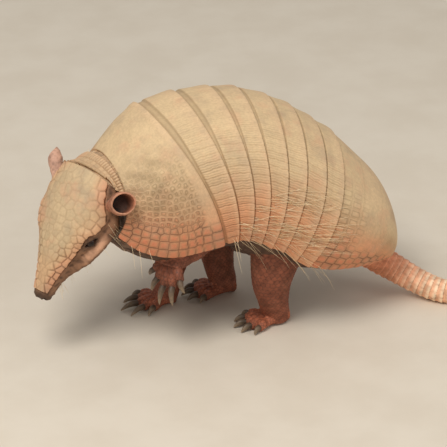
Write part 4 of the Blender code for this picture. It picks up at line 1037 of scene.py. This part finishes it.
LEG_SCALE, SOLE_SCALE, TOE_SCALE, SCALE_RISE = (0.0026, 0.0040), (0.0028, 0.0036), (0.0030, 0.0042), 0.0006


def tube_surface(rows, ahead):
    """A surface round a limb's rows of centre, half width and half depth, by station and angle."""
    keyed = [(index, *row) for index, row in enumerate(rows)]

    def surface(station, angle):
        station, angle = arrays(station, angle)
        row = between(keyed, station)
        along = unit(between(keyed, station + 0.02)[..., :3] - between(keyed, station - 0.02)[..., :3])
        across = unit(np.cross(along, ahead))
        deep = np.cross(across, along)
        wide, depth = row[..., 3, None], row[..., 4, None]
        offset = across * wide * np.cos(angle)[..., None] + deep * depth * np.sin(angle)[..., None]
        return row[..., :3] - CENTRE + offset

    return surface


def scaled_loft(surface, stations, columns, scale, colour, seed):
    """A closed tube covered with small raised scales, of given length and width, in staggered rings."""
    station, angle = np.meshgrid(stations, turns(columns), indexing="ij")
    base, outward = surface(station, angle), normals(surface, station, angle)
    length = np.linalg.norm(np.diff(base.mean(axis=1), axis=0), axis=1).sum()
    girth = np.linalg.norm(np.diff(base[len(base) // 2], axis=0), axis=1).sum()
    size, width = scale
    rings, count = max(round(length / size), 2), max(round(girth / width), 5)
    chance = np.random.default_rng(seed)
    row, column = np.meshgrid(np.arange(rings), np.arange(count), indexing="ij")
    site_station = (row + 0.5 + chance.uniform(-0.15, 0.15, row.shape)) / rings * stations[-1]
    site_angle = (column + row % 2 * 0.5 + chance.uniform(-0.12, 0.12, row.shape)) / count * 2 * math.pi
    owner, border = plates(base, surface(site_station, site_angle).reshape(-1, 3))
    dome = ease(0.0, size * 0.36, border)
    shade = chance.uniform(0.88, 1.14, row.size)[owner][..., None]
    groove = np.clip(1 - border / (size * 0.22), 0, 1)
    add_loft(base + outward * (SCALE_RISE * (dome - 0.6))[..., None], np.asarray(colour) * shade, groove)


def foot_place(aim, sole, paw):
    """The foot's direction and side, and the turn and shift from the floor to where the paw is held."""
    aim = Vector((*aim, 0.0)).normalized()
    side = Vector((-aim.y, aim.x, 0.0))
    lift, dip = paw
    turn = np.array(Matrix.Rotation(dip, 3, side))
    pivot = np.array((*sole[-1][:2], TOE_HEIGHT)) - CENTRE
    return np.array(aim), np.array(side), turn, pivot + UPWARD * lift - turn @ pivot


SHADED = 0.52


def foot_tint(paw):
    """A raised paw is a darker red, as it is in the shade of the shell."""
    return np.array(FOOT_TINT) * (SHADED if paw == RAISED_PAW else 1.0)


def placed(surface, turn, shift):
    return lambda station, angle: surface(station, angle) @ turn.T + shift


for index, (name, rows, aim, toes, sole, paw) in enumerate(LEGS):
    stations = np.linspace(0.0, len(rows) - 1.0, 190)
    red = 0.55 * ease(0.40, 1.0, stations / stations[-1])[:, None, None]
    leg_tint = np.array(LEG_TINT) * (1 - red) + foot_tint(paw) * red
    scaled_loft(tube_surface(rows, FORWARD), stations, 160, LEG_SCALE, leg_tint, index)
    stations = np.linspace(0.0, len(sole) - 1.0, 40)
    held = placed(tube_surface(sole, UPWARD), *foot_place(aim, sole, paw)[2:])
    scaled_loft(held, stations, 110, SOLE_SCALE, foot_tint(paw), index + len(LEGS))
print("four legs, so", len(lofts), "lofts")

# %% [markdown]
# ### Toes and claws
# A toe is a short tube with a knuckle. Its claw is horn, oval in section and bent down to a blunt point,
# and stays a piece of its own with a fine groove pattern along it.

# %% Toes and claws
def closed_tube(name, grid, marks):
    rows, columns = grid.shape[:2]
    marks = np.concatenate((marks.reshape(rows * columns, -1), marks[:1, 0], marks[-1:, 0]))
    faces = quads(rows, columns, wrap=True).tolist() + tube_ends(rows, columns).tolist()
    return make_piece(name, tube_points(grid), faces, marks)


def toe_and_claw(name, number, toe, tint, ball, aim, side, *place):
    angle, reach, claw_length = toe
    course = np.array(Matrix.Rotation(angle, 3, "Z")) @ aim
    root = ball + side * math.sin(angle) * TOE_SPREAD
    root[2] = TOE_HEIGHT
    end = root + course * reach
    knuckle = root + course * reach * 0.5 + UPWARD * TOE_KNUCKLE
    rows = (
        (*(root - course * 0.004), TOE_RADIUS * 0.9, TOE_RADIUS * 0.9),
        (*knuckle, TOE_RADIUS, TOE_RADIUS),
        (*(end - course * 0.0015), TOE_RADIUS * 0.86, TOE_RADIUS * 0.86),
        (*end, TOE_RADIUS * 0.70, TOE_RADIUS * 0.70),
    )
    held = placed(tube_surface(rows, UPWARD), *place)
    scaled_loft(held, np.linspace(0.0, 3.0, 44), 48, TOE_SCALE, tint, number)
    base = end + course * CLAW_GAP
    tip = np.array((end[0], end[1], CLAW_TIP_HEIGHT)) + course * claw_length
    middle = base + (tip - base) * 0.5 + UPWARD * CLAW_ARCH
    claw_rows = (
        (*(base - course * 0.0015), CLAW_RADIUS * 0.85, CLAW_RADIUS * 0.95),
        (*(base + (middle - base) * 0.5 + UPWARD * 0.0006), CLAW_RADIUS * 0.80, CLAW_RADIUS * 0.95),
        (*middle, CLAW_RADIUS * 0.65, CLAW_RADIUS * 0.78),
        (*(middle + (tip - middle) * 0.6 + UPWARD * 0.0004), CLAW_RADIUS * 0.42, CLAW_RADIUS * 0.50),
        (*tip, CLAW_RADIUS * 0.14, CLAW_RADIUS * 0.14),
    )
    station, angle = np.meshgrid(np.linspace(0.0, 4.0, 36), turns(28), indexing="ij")
    ridges = 0.00007 * np.sin(angle * 11) * ease(4.0, 2.0, station)
    grid = lifted(placed(tube_surface(claw_rows, UPWARD), *place), station, angle, ridges)
    grid[..., 2] = np.maximum(grid[..., 2], 0.0)
    marks = np.stack((station / 4, 0.5 + 0.5 * np.sin(angle * 11), np.zeros_like(station)), axis=-1)
    return closed_tube(f"{name}_horn_{number}", grid, marks)


claws = []
for name, rows, aim, toes, sole, paw in LEGS:
    for number, toe in enumerate(toes, 1):
        foot = np.array(sole[-1][:3]), *foot_place(aim, sole, paw)
        claw = toe_and_claw(f"claw_{name}", number, toe, foot_tint(paw), *foot)
        claws.append((claw, f"claw_{name}_{number}"))
print(len(claws), "claws")

# %% [markdown]
# ### Tail
# The tail is armoured with rings of scutes whose rear edges lap over the next ring, like tiles on a roof.
# The rings are 6 to 10 mm long. The tail leaves the shell in a darker red and soon turns pink with cream
# edges.

# %% Tail
TAIL = (
    (0.102, 0.003, 0.0600, 0.0138), (0.128, 0.000, 0.0405, 0.0138), (0.150, -0.008, 0.027, 0.0130),
    (0.170, -0.021, 0.017, 0.0120), (0.190, -0.034, 0.0112, 0.0112), (0.215, -0.046, 0.0096, 0.0098),
    (0.245, -0.052, 0.0079, 0.0081), (0.280, -0.050, 0.0060, 0.0062), (0.318, -0.043, 0.0038, 0.0040),
)
TAIL_RINGS, TAIL_SCUTES = 31, 9
TAIL_ROOT, TAIL_TINT, TAIL_RIM = (
    np.array(tint) for tint in ((0.72, 0.27, 0.14), (0.88, 0.48, 0.29), (0.96, 0.74, 0.52))
)


def tail_surface(station, angle):
    """Points of the tail by station, from its root (0) to its tip (8), and angle."""
    station, angle = arrays(station, angle)
    rows = [(index, *row) for index, row in enumerate(TAIL)]
    middle = between(rows, station)
    ahead = unit(between(rows, station + 0.02)[..., :3] - middle[..., :3])
    side = unit(np.cross(ahead, UPWARD))
    up = np.cross(side, ahead)
    round_about = up * np.cos(angle)[..., None] - side * np.sin(angle)[..., None]
    return middle[..., :3] - CENTRE + round_about * middle[..., 3, None]


station, angle = np.meshgrid(np.linspace(0.0, 8.0, 520), turns(110), indexing="ij")
ring_at = station / 8 * TAIL_RINGS
ring, within = np.floor(ring_at), ring_at % 1
column = (angle / (2 * math.pi) * TAIL_SCUTES + ring % 2 * 0.5) % 1
side_gap = np.minimum(column, 1 - column)
lap = ease(0.0, 0.9, within) * (1 - ease(0.92, 1.0, within))
tail_height = 0.0010 * lap - 0.0004 + 0.00025 * ease(0.0, 0.14, side_gap)
tail_groove = np.maximum(0.16 - 0.16 * ease(0.0, 0.10, side_gap), 0.70 - 0.70 * ease(0.0, 0.16, within))
pale = (ease(0.30, 0.9, within) * (0.5 + 0.5 * ease(0.0, 0.2, side_gap)))[..., None]
fresh = ease(1.2, 3.8, station)[..., None]
tail_tint = TAIL_ROOT * (1 - fresh) + (TAIL_TINT * (1 - pale) + TAIL_RIM * pale) * fresh
add_loft(lifted(tail_surface, station, angle, tail_height), tail_tint, tail_groove)
print("tail:", TAIL_RINGS, "rings of", TAIL_SCUTES, "scutes")

# %% [markdown]
# ## One skin
# The voxel remesh lays a new surface round everything at once, on a grid of 0.8 mm, which keeps the scales
# of the legs. A point of the new skin then looks up the nearest point of the lofts for its colour and its
# groove. A Boolean union would keep the lofts' own faces, but it leaves a hard crease wherever two of them
# meet.

# %% Melt the lofts into one skin
VOXEL = 0.0008
start, all_points, all_faces = 0, [], []
for points, faces, caps, tint, deep in lofts:
    all_points.append(points)
    all_faces += (faces + start).tolist() + (caps + start).tolist()
    start += len(points)
all_points = np.concatenate(all_points)
tints, depths = np.concatenate([loft[3] for loft in lofts]), np.concatenate([loft[4] for loft in lofts])
draft = make_piece("skin_draft", all_points, all_faces)
melt = draft.modifiers.new("melt", "REMESH")
melt.mode, melt.voxel_size, melt.use_smooth_shade = "VOXEL", VOXEL, True
graph = bpy.context.evaluated_depsgraph_get()
skin_mesh = bpy.data.meshes.new_from_object(draft.evaluated_get(graph))
bpy.data.objects.remove(draft)
skin = new_object("skin", skin_mesh)
print("skin:", len(skin_mesh.vertices), "points")

# %% Carry colours and grooves over to the skin
finder = kdtree.KDTree(len(all_points))
for index, point in enumerate(all_points.tolist()):
    finder.insert(point, index)
finder.balance()
count = len(skin_mesh.vertices)
coordinates = np.empty(count * 3, np.float32)
skin_mesh.vertices.foreach_get("co", coordinates)
nearest = np.array([finder.find(point)[1] for point in coordinates.reshape(-1, 3).tolist()])
coordinates[2::3] = np.maximum(coordinates[2::3], 0.0)
skin_mesh.vertices.foreach_set("co", coordinates)
colours = np.ones((count, 4), np.float32)
colours[:, :3] = tints[nearest]
skin_mesh.attributes.new("tint", "FLOAT_COLOR", "POINT").data.foreach_set("color", colours.ravel())
colours[:, :3] = depths[nearest][:, None]
skin_mesh.attributes.new("marks", "FLOAT_COLOR", "POINT").data.foreach_set("color", colours.ravel())
grooved = int((depths[nearest] > 0.5).sum())
print("grooved points:", grooved, "triangles of skin:", 2 * len(skin_mesh.polygons))

# %% [markdown]
# ## Eyes
# An armadillo's eye is small, round and almost black. The ball sits deep between the lids, and only its
# gloss tells it from the dark slit. The front of the ball bulges a little, as a cornea does.

# %% Eyes
def eyeball(name, side):
    centre, along, up, out = eye_frame(side)
    rise, turn = np.meshgrid(np.linspace(0.02, math.pi - 0.02, 40), turns(48), indexing="ij")
    bulge = EYE_RADIUS * (1 + 0.04 * bell(rise, 0.5))[..., None]
    way = out * np.cos(rise)[..., None] + (
        along * np.cos(turn)[..., None] + up * np.sin(turn)[..., None]
    ) * np.sin(rise)[..., None] * side * -1
    grid = centre + way * bulge
    marks = np.stack((ease(0.55, 0.75, rise), np.zeros_like(rise), np.zeros_like(rise)), axis=-1)
    return closed_tube(name, grid, marks)


eyes = [eyeball("eyeball_left", -1), eyeball("eyeball_right", 1)]
print("eyes:", [eye.name for eye in eyes])

# %% [markdown]
# ## Bristles
# Long cream hairs grow from between the scutes of the flanks and lie back along the body, and the lowest
# ones hang past the rim of the shell. Each bristle is a thin tapered tube of three sides that bends a
# little under its own weight. Particle hair wouldn't survive an export, so they are real mesh, joined into
# a few pieces. Every tube also has a small patch in a map named OFBake, at its root's place on the shell.

# %% Grow bristles from roots and directions
HAIR_STEPS = 7
PATCH = 0.003
HUG = 0.0040
FLANK_BRISTLES, RIM_BRISTLES = 190, 26


def pick(span):
    """A number as it is, or one drawn from between a pair of numbers."""
    return draw.uniform(*span) if isinstance(span, tuple) else span


def grow(name, roots):
    """Joins many tapered hairs: root point, direction, length, bend, radius and place on the map."""
    points, faces, patches = [], [], []
    for root, way, length, bent, radius, place in roots:
        start = len(points)
        side = unit(np.cross(way, UPWARD) + 1e-6)
        lift = np.cross(side, way)
        sway = draw.uniform(-0.17, 0.17) * length
        for step in range(HAIR_STEPS):
            share = step / (HAIR_STEPS - 1)
            middle = root + way * length * share + (bent + side * sway) * share**2
            thick = radius * (1 - share) ** 0.6 + 0.00005
            for corner in range(3):
                turn = corner * 2 * math.pi / 3
                points.append(middle + (side * math.cos(turn) + lift * math.sin(turn)) * thick)
        for step in range(HAIR_STEPS - 1):
            for corner in range(3):
                low, after = start + step * 3 + corner, start + step * 3 + (corner + 1) % 3
                faces.append((low, after, after + 3, low + 3))
                patches.append([(place, edge, height) for edge, height in (
                    (corner, step), (corner + 1, step), (corner + 1, step + 1), (corner, step + 1),
                )])
    hairs = make_piece(name, np.array(points), faces)
    layer = hairs.data.uv_layers.new(name="OFBake")
    flat = [spot for patch in patches for spot in patch]
    places = np.array([spot[0] for spot in flat])
    within = np.array([(spot[1] / 3, spot[2] / (HAIR_STEPS - 1)) for spot in flat])
    layer.data.foreach_set("uv", (places + (within - 0.5) * PATCH).astype(np.float32).ravel())
    return hairs


def flank_root(station, angle, droop, outward, length, sag, radius):
    """A hair on the shell that lies back along the body and follows its curve."""
    point, out = carapace(station, angle), normals(carapace, np.array(station), np.array(angle))
    back = np.array((1.0, 0.0, -droop))
    way = unit(unit(back - out * (back @ out)) + out * outward)
    place = (0.02 + 0.96 * station / REAR_MARGIN, 0.5 + 0.48 * angle / EDGE_ANGLE)
    bent = -out * HUG * (length / 0.035) ** 2 - UPWARD * sag * length
    return point + out * 0.0009, way, length, bent, radius, place


for side, word in ((-1, "left"), (1, "right")):
    roots = []
    for _ in range(FLANK_BRISTLES):
        angle = side * math.radians(draw.triangular(58, 112, 94))
        band = draw.randint(1, 7)
        station = band + draw.choice((-0.02, -0.02, 0.25, 0.6)) + draw.uniform(-0.04, 0.04)
        if station < 1.6 + 2.8 * float(ease(1.80, 1.25, abs(angle))):
            continue
        droop = draw.gauss(0.12, 0.16)
        form = [pick(span) for span in ((0.07, 0.22), (0.018, 0.044), (0.0, 0.14), (0.00017, 0.00026))]
        roots.append(flank_root(station, angle, droop, *form))
    for _ in range(RIM_BRISTLES):
        angle, station = side * math.radians(draw.uniform(104, 113.5)), draw.uniform(1.5, 8.4)
        spans = (0.4, 1.6), (-0.05, 0.3), (0.024, 0.046), (0.05, 0.35), (0.00012, 0.00020)
        roots.append(flank_root(station, angle, *(pick(span) for span in spans)))
    bristles = grow(f"flank_bristles_{word}", roots)
    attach(bristles, "root")
    print(bristles.name, len(bristles.data.polygons), "faces")

# %% [markdown]
# ### Hairs of face, neck and chest
# A few long pale hairs hang from the cheek behind the eye and from the front rim of the shell, and short
# ones stand along the rear rim of the neck's plates.

# %% Hairs round the face: how many, surface; direction back, out and up; station, angle; length, sag, radius
FACE_HAIRS = (
    (9, head_surface, (0.1, 0.9), (-0.1, 0.4), (-1.0, -0.3),
     (5.6, 7.6), (math.radians(92), math.radians(112)), (0.014, 0.030), (0.0, 0.2), (0.00009, 0.00014)),
    (12, head_surface, (-0.5, 0.3), (0.0, 0.4), -1.0,
     (2.2, 5.0), (math.radians(112), math.radians(150)), (0.006, 0.014), 0.1, (0.00010, 0.00014)),
    (6, carapace, (0.0, 0.8), (-0.2, 0.3), (-1.0, -0.5),
     (0.03, 1.5), (math.radians(108), math.radians(113)), (0.012, 0.032), (0.0, 0.3), (0.00012, 0.00020)),
    (12, nuchal_surface, (0.6, 1.0), (0.0, 0.4), (-0.1, 0.3),
     0.55, (0.25, 1.0), (0.003, 0.006), 0.1, (0.00010, 0.00014)),
)


def loose_root(surface, station, angle, way, length, sag, radius):
    """A hair that leaves a surface in a given direction of the model."""
    point, out = surface(station, angle), normals(surface, np.array(station), np.array(angle))
    place = (0.02 + 0.96 * station / 10, 0.5 + 0.48 * angle / math.pi)
    way = unit(np.array(way) + out * 0.5)
    return point + out * 0.0004, way, length, -UPWARD * sag * length, radius, place


for side, word in ((-1, "left"), (1, "right")):
    roots = []
    for count, surface, *spans in FACE_HAIRS:
        for _ in range(count):
            back, out, up, station, angle, *form = (pick(span) for span in spans)
            roots.append(loose_root(surface, station, side * angle, (back, side * out, up), *form))
    hairs = grow(f"face_hairs_{word}", roots)
    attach(hairs, "root")
    print(hairs.name, len(hairs.data.polygons), "faces")

# %% [markdown]
# ## Finishes
# Every finish is a small tree of nodes over the Principled shader. The carapace mixes dusty straw on top
# with coral on the flanks and varies a little from plate to plate. The soil in its grooves is olive above
# and brown lower down. The skin takes its own colours and adds mottling. Bump carries whatever is finer
# than the mesh.

# %% Helpers for node trees
NOISE_ROUGHNESS = 0.55


def colour_of(red, green, blue):
    """A display colour from 0 to 255 as the light value that the shader needs."""
    return tuple(((value / 255 + 0.055) / 1.055) ** 2.4 if value > 10 else value / 255 / 12.92
                 for value in (red, green, blue)) + (1.0,)


class Tree:
    """A material's nodes, with short calls that add and link them."""

    def __init__(self, name, roughness):
        self.material = bpy.data.materials.new(name)
        self.material.use_nodes = True
        self.nodes, self.links = self.material.node_tree.nodes, self.material.node_tree.links
        self.shader = self.nodes["Principled BSDF"]
        self.shader.inputs["Roughness"].default_value = roughness
        self.place = self.add("ShaderNodeTexCoord").outputs["Object"]

    def add(self, kind, **settings):
        node = self.nodes.new(kind)
        for key, value in settings.items():
            setattr(node, key, value)
        return node

    def put(self, socket_shade, value):
        if isinstance(value, bpy.types.NodeSocket):
            self.links.new(value, socket_shade)
        else:
            socket_shade.default_value = value

    def marks(self, name="marks"):
        node = self.add("ShaderNodeAttribute", attribute_name=name)
        return node.outputs["Color"]

    def split(self, colour):
        node = self.add("ShaderNodeSeparateColor")
        self.put(node.inputs[0], colour)
        return node.outputs

    def mix(self, share, first, second, way="MIX"):
        node = self.add("ShaderNodeMix", data_type="RGBA", blend_type=way)
        self.put(node.inputs["Factor"], share)
        self.put(node.inputs["A"], first)
        self.put(node.inputs["B"], second)
        return node.outputs["Result"]

    def calculate(self, way, first, second):
        node = self.add("ShaderNodeMath", operation=way)
        self.put(node.inputs[0], first)
        self.put(node.inputs[1], second)
        return node.outputs[0]

    def times(self, first, second):
        return self.calculate("MULTIPLY", first, second)

    def plus(self, first, second):
        return self.calculate("ADD", first, second)

    def reach(self, value, low, high, out_low=0.0, out_high=1.0):
        node = self.add("ShaderNodeMapRange", interpolation_type="SMOOTHSTEP")
        for socket_shade, setting in zip(node.inputs, (value, low, high, out_low, out_high)):
            self.put(socket_shade, setting)
        return node.outputs[0]

    def noise(self, scale, detail=3.0, stretch=None):
        node = self.add("ShaderNodeTexNoise")
        node.inputs["Scale"].default_value = scale
        node.inputs["Detail"].default_value = detail
        node.inputs["Roughness"].default_value = NOISE_ROUGHNESS
        place = self.place
        if stretch:
            mapping = self.add("ShaderNodeMapping")
            mapping.inputs["Scale"].default_value = stretch
            self.put(mapping.inputs["Vector"], place)
            place = mapping.outputs[0]
        self.put(node.inputs["Vector"], place)
        return node.outputs[0]

    def bump(self, height, distance, strength):
        node = self.add("ShaderNodeBump")
        node.inputs["Distance"].default_value = distance
        node.inputs["Strength"].default_value = strength
        self.put(node.inputs["Height"], height)
        return node.outputs[0]

    def done(self, colour, roughness, normal):
        self.put(self.shader.inputs["Base Color"], colour)
        self.put(self.shader.inputs["Roughness"], roughness)
        self.put(self.shader.inputs["Normal"], normal)
        return self.material


RIM_CREAM, WARM_FIGURE, LOW_CORAL = colour_of(226, 190, 152), colour_of(212, 116, 84), colour_of(206, 104, 72)
PINK_BLOOM, STRAW_DUST, STAIN = colour_of(224, 166, 132), colour_of(192, 166, 136), colour_of(150, 136, 116)
LOW_SOIL, FOLD_SOIL = colour_of(92, 56, 38), colour_of(130, 106, 72)
SKIN_DUST, SKIN_CREASE = colour_of(170, 132, 96), colour_of(46, 24, 16)
CLAW_ROOT, CLAW_TIP, CLAW_RIDGE = colour_of(76, 58, 46), colour_of(158, 136, 110), colour_of(70, 58, 48)
EYE_DARK, EYE_BROWN, EYE_EDGE = colour_of(16, 10, 8), colour_of(34, 20, 13), colour_of(44, 24, 17)
BRISTLE_STRAW, BRISTLE_CREAM = colour_of(240, 208, 160), colour_of(252, 234, 198)
FLOOR_SHADE, FLOOR_PALE = colour_of(222, 212, 196), colour_of(228, 219, 204)
print("rim cream as light values:", [round(value, 3) for value in RIM_CREAM])

# %% Horn of the shields and bands
def horn_finish(name, top, middle, low, soil, variety, mottling, rosy):
    """Dry horn in three tones from the back down to the rim, with soil in its grooves and folds."""
    tree = Tree(name, 0.68)
    groove, plate, flank = tree.split(tree.marks())[:3]
    figure, rim, fold = tree.split(tree.marks("form"))[:3]
    cloud, fine = tree.noise(26.0, 4.0), tree.noise(420.0, 3.0)
    edge = tree.plus(flank, tree.times(tree.plus(cloud, -0.5), 0.50))
    base = tree.mix(tree.reach(edge, 0.02, 0.36), top, middle)
    base = tree.mix(tree.reach(edge, 0.30, 0.78), base, low)
    base = tree.mix(tree.times(rim, 0.42), base, RIM_CREAM)
    warm = tree.times(tree.times(figure, tree.reach(edge, 0.35, 0.85)), 0.50)
    base = tree.mix(warm, base, WARM_FIGURE)
    base = tree.mix(tree.times(tree.reach(edge, 0.78, 1.15), rosy), base, LOW_CORAL)
    shade = tree.reach(plate, 0.0, 1.0, 1.0 - variety, 1.0 + variety * 0.5)
    base = tree.mix(1.0, base, tree.times(shade, tree.reach(fine, 0.25, 0.75, 0.90, 1.06)), "MULTIPLY")
    pink = tree.times(tree.reach(tree.noise(52.0, 4.0), 0.50, 0.70), mottling)
    base = tree.mix(pink, base, PINK_BLOOM)
    dust = tree.times(tree.reach(tree.noise(64.0, 5.0), 0.45, 0.72), 0.30)
    base = tree.mix(dust, base, STRAW_DUST)
    stain = tree.times(tree.reach(tree.noise(38.0, 5.0), 0.52, 0.72), mottling)
    base = tree.mix(stain, base, STAIN)
    dark = tree.times(groove, tree.reach(tree.noise(60.0), 0.25, 0.7, 0.46, 0.86))
    base = tree.mix(dark, base, tree.mix(tree.reach(edge, 0.35, 0.85), soil, LOW_SOIL))
    base = tree.mix(tree.times(fold, 0.58), base, FOLD_SOIL)
    streaks = tree.noise(260.0, 2.0, (0.25, 1.0, 1.0))
    relief = tree.plus(tree.times(fine, 0.6), tree.times(streaks, 0.8))
    rough = tree.reach(fine, 0.2, 0.8, 0.58, 0.82)
    return tree.done(base, rough, tree.bump(relief, 0.00035, 0.55))


carapace_horn = horn_finish(
    "carapace_horn", colour_of(222, 194, 152), colour_of(212, 177, 137), colour_of(226, 165, 122),
    colour_of(122, 92, 60), variety=0.045, mottling=0.26, rosy=0.32,
)
head_horn = horn_finish(
    "head_horn", colour_of(206, 180, 142), colour_of(210, 174, 134), colour_of(220, 164, 126),
    colour_of(128, 90, 62), variety=0.08, mottling=0.40, rosy=0.15,
)
print("horn finishes:", carapace_horn.name, head_horn.name)

# %% Skin, claws, eyes and bristles
def skin_finish():
    tree = Tree("bare_skin", 0.7)
    own = tree.marks("tint")
    groove = tree.split(tree.marks())[0]
    mottle = tree.reach(tree.noise(120.0, 4.0), 0.25, 0.75, 0.72, 1.30)
    base = tree.mix(1.0, own, mottle, "MULTIPLY")
    dust = tree.times(tree.reach(tree.noise(45.0, 5.0), 0.50, 0.78), 0.22)
    base = tree.mix(dust, base, SKIN_DUST)
    base = tree.mix(tree.times(groove, 0.66), base, SKIN_CREASE)
    cells = tree.add("ShaderNodeTexVoronoi", feature="DISTANCE_TO_EDGE")
    cells.inputs["Scale"].default_value = 900.0
    tree.put(cells.inputs["Vector"], tree.place)
    relief = tree.plus(tree.times(cells.outputs["Distance"], 1.5), tree.noise(700.0, 3.0))
    return tree.done(base, tree.reach(mottle, 0.7, 1.3, 0.78, 0.56), tree.bump(relief, 0.0003, 0.6))


def claw_finish():
    tree = Tree("claw_horn", 0.42)
    along, ridge, _ = tree.split(tree.marks())[:3]
    base = tree.mix(along, CLAW_ROOT, CLAW_TIP)
    grain = tree.noise(300.0, 4.0, (0.3, 1.0, 1.0))
    base = tree.mix(1.0, base, tree.reach(grain, 0.3, 0.7, 0.72, 1.12), "MULTIPLY")
    base = tree.mix(tree.times(ridge, 0.25), base, CLAW_RIDGE)
    return tree.done(base, tree.reach(grain, 0.2, 0.8, 0.34, 0.60), tree.bump(grain, 0.0002, 0.5))


def eye_finish():
    tree = Tree("dark_eye", 0.08)
    white = tree.split(tree.marks())[0]
    ring = tree.noise(900.0, 3.0)
    tree.shader.inputs["Specular IOR Level"].default_value = 0.35
    base = tree.mix(tree.reach(ring, 0.3, 0.7), EYE_DARK, EYE_BROWN)
    base = tree.mix(white, base, EYE_EDGE)
    return tree.done(base, tree.reach(white, 0.0, 1.0, 0.06, 0.30), tree.bump(ring, 0.0001, 0.1))


def bristle_finish():
    tree = Tree("cream_bristles", 0.45)
    shade = tree.reach(tree.noise(220.0, 2.0), 0.3, 0.7)
    base = tree.mix(shade, BRISTLE_STRAW, BRISTLE_CREAM)
    return tree.done(base, tree.reach(shade, 0.0, 1.0, 0.38, 0.55), tree.bump(shade, 0.0001, 0.3))


bare_skin, claw_horn, dark_eye, cream = skin_finish(), claw_finish(), eye_finish(), bristle_finish()
print("materials:", len(bpy.data.materials))

# %% [markdown]
# ## Give each piece its finish and its place in the model
# Every piece rides on the model's one body, takes its finish and hides the solid that it stands for.

# %% Ride, replace and paint
def dress(piece, nodes, material):
    piece.data.materials.clear()
    piece.data.materials.append(material)
    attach(piece, "root")
    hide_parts(*nodes)


dress(shoulder_shield, ["shoulder_shield"], carapace_horn)
dress(pelvic_shield, ["pelvic_shield"], carapace_horn)
for number, band in enumerate(bands, 1):
    dress(band, [f"band_{number}"], carapace_horn)
dress(head_shield, ["head_shield"], head_horn)
dress(nuchal_band, ["nuchal_band"], head_horn)
flesh = ["torso", "head", "neck", "tail", "ear_left", "ear_right", *(leg[0] for leg in LEGS)]
dress(skin, flesh, bare_skin)
for claw, node in claws:
    dress(claw, [node], claw_horn)
for eye, node in zip(eyes, ("eye_left", "eye_right")):
    dress(eye, [node], dark_eye)
for piece in bpy.data.objects:
    if piece.name.startswith(("flank_bristles", "face_hairs")):
        piece.data.materials.append(cream)

# %% [markdown]
# ## Floor, light and camera
# The model stands on a plain pale floor under a large soft lamp high on the left, with a weaker one
# opposite and a pale surrounding glow. The camera looks down from the animal's left, at the photograph's
# angle.

# %% Stage
FLOOR_SIZE, FLOOR_ROUGHNESS = 8.0, 0.85
GLOW_COLOUR, GLOW_STRENGTH = (1.0, 0.97, 0.93, 1.0), 0.42
LAMP_TARGET = (0, 0, 0.1)
floor_mesh = bpy.data.meshes.new("floor")
half = FLOOR_SIZE / 2
corners = [(-half, -half, 0), (half, -half, 0), (half, half, 0), (-half, half, 0)]
floor_mesh.from_pydata(corners, [], [(0, 1, 2, 3)])
floor = new_object("floor", floor_mesh)
tree = Tree("pale_floor", FLOOR_ROUGHNESS)
grain = tree.noise(14.0, 5.0)
floor_tint = tree.mix(tree.reach(grain, 0.3, 0.7), FLOOR_SHADE, FLOOR_PALE)
floor_mesh.materials.append(tree.done(floor_tint, FLOOR_ROUGHNESS, tree.bump(grain, 0.0005, 0.2)))
world = bpy.data.worlds.new("studio")
bpy.context.scene.world = world
world.use_nodes = True
glow = world.node_tree.nodes["Background"].inputs
glow["Color"].default_value, glow["Strength"].default_value = GLOW_COLOUR, GLOW_STRENGTH


def lamp(name, place, size, power, colour):
    light = bpy.data.lights.new(name, "AREA")
    light.shape, light.size, light.energy, light.color = "DISK", size, power, colour
    holder = new_object(name, light)
    holder.location = place
    holder.rotation_euler = (Vector(LAMP_TARGET) - Vector(place)).to_track_quat("-Z", "Y").to_euler()


lamp("key_lamp", (-0.9, -0.9, 2.0), size=1.1, power=31.0, colour=(1.0, 0.96, 0.90))
lamp("fill_lamp", (1.4, -1.2, 1.2), size=1.4, power=6.0, colour=(1.0, 0.95, 0.88))
print("stage set")

# %% Camera
CAMERA_TARGET = Vector((-0.0779, -0.0182, 0.1024))
CAMERA_WAY = Vector((-0.2004, -0.8682, 0.4540))
CAMERA_DISTANCE, CAMERA_LENS = 2.6, 220.4
camera_data = bpy.data.cameras.new("camera")
camera_data.lens, camera_data.sensor_width = CAMERA_LENS, 36.0
camera_data.clip_start, camera_data.clip_end = 0.1, 30.0
camera = new_object("camera", camera_data)
camera.location = CAMERA_TARGET + CAMERA_WAY.normalized() * CAMERA_DISTANCE
camera.rotation_mode = "QUATERNION"
camera.rotation_quaternion = (-CAMERA_WAY).to_track_quat("-Z", "Y")
bpy.context.scene.camera = camera
bpy.context.scene.view_settings.view_transform = "Standard"
print("camera at", [round(value, 3) for value in camera.location])
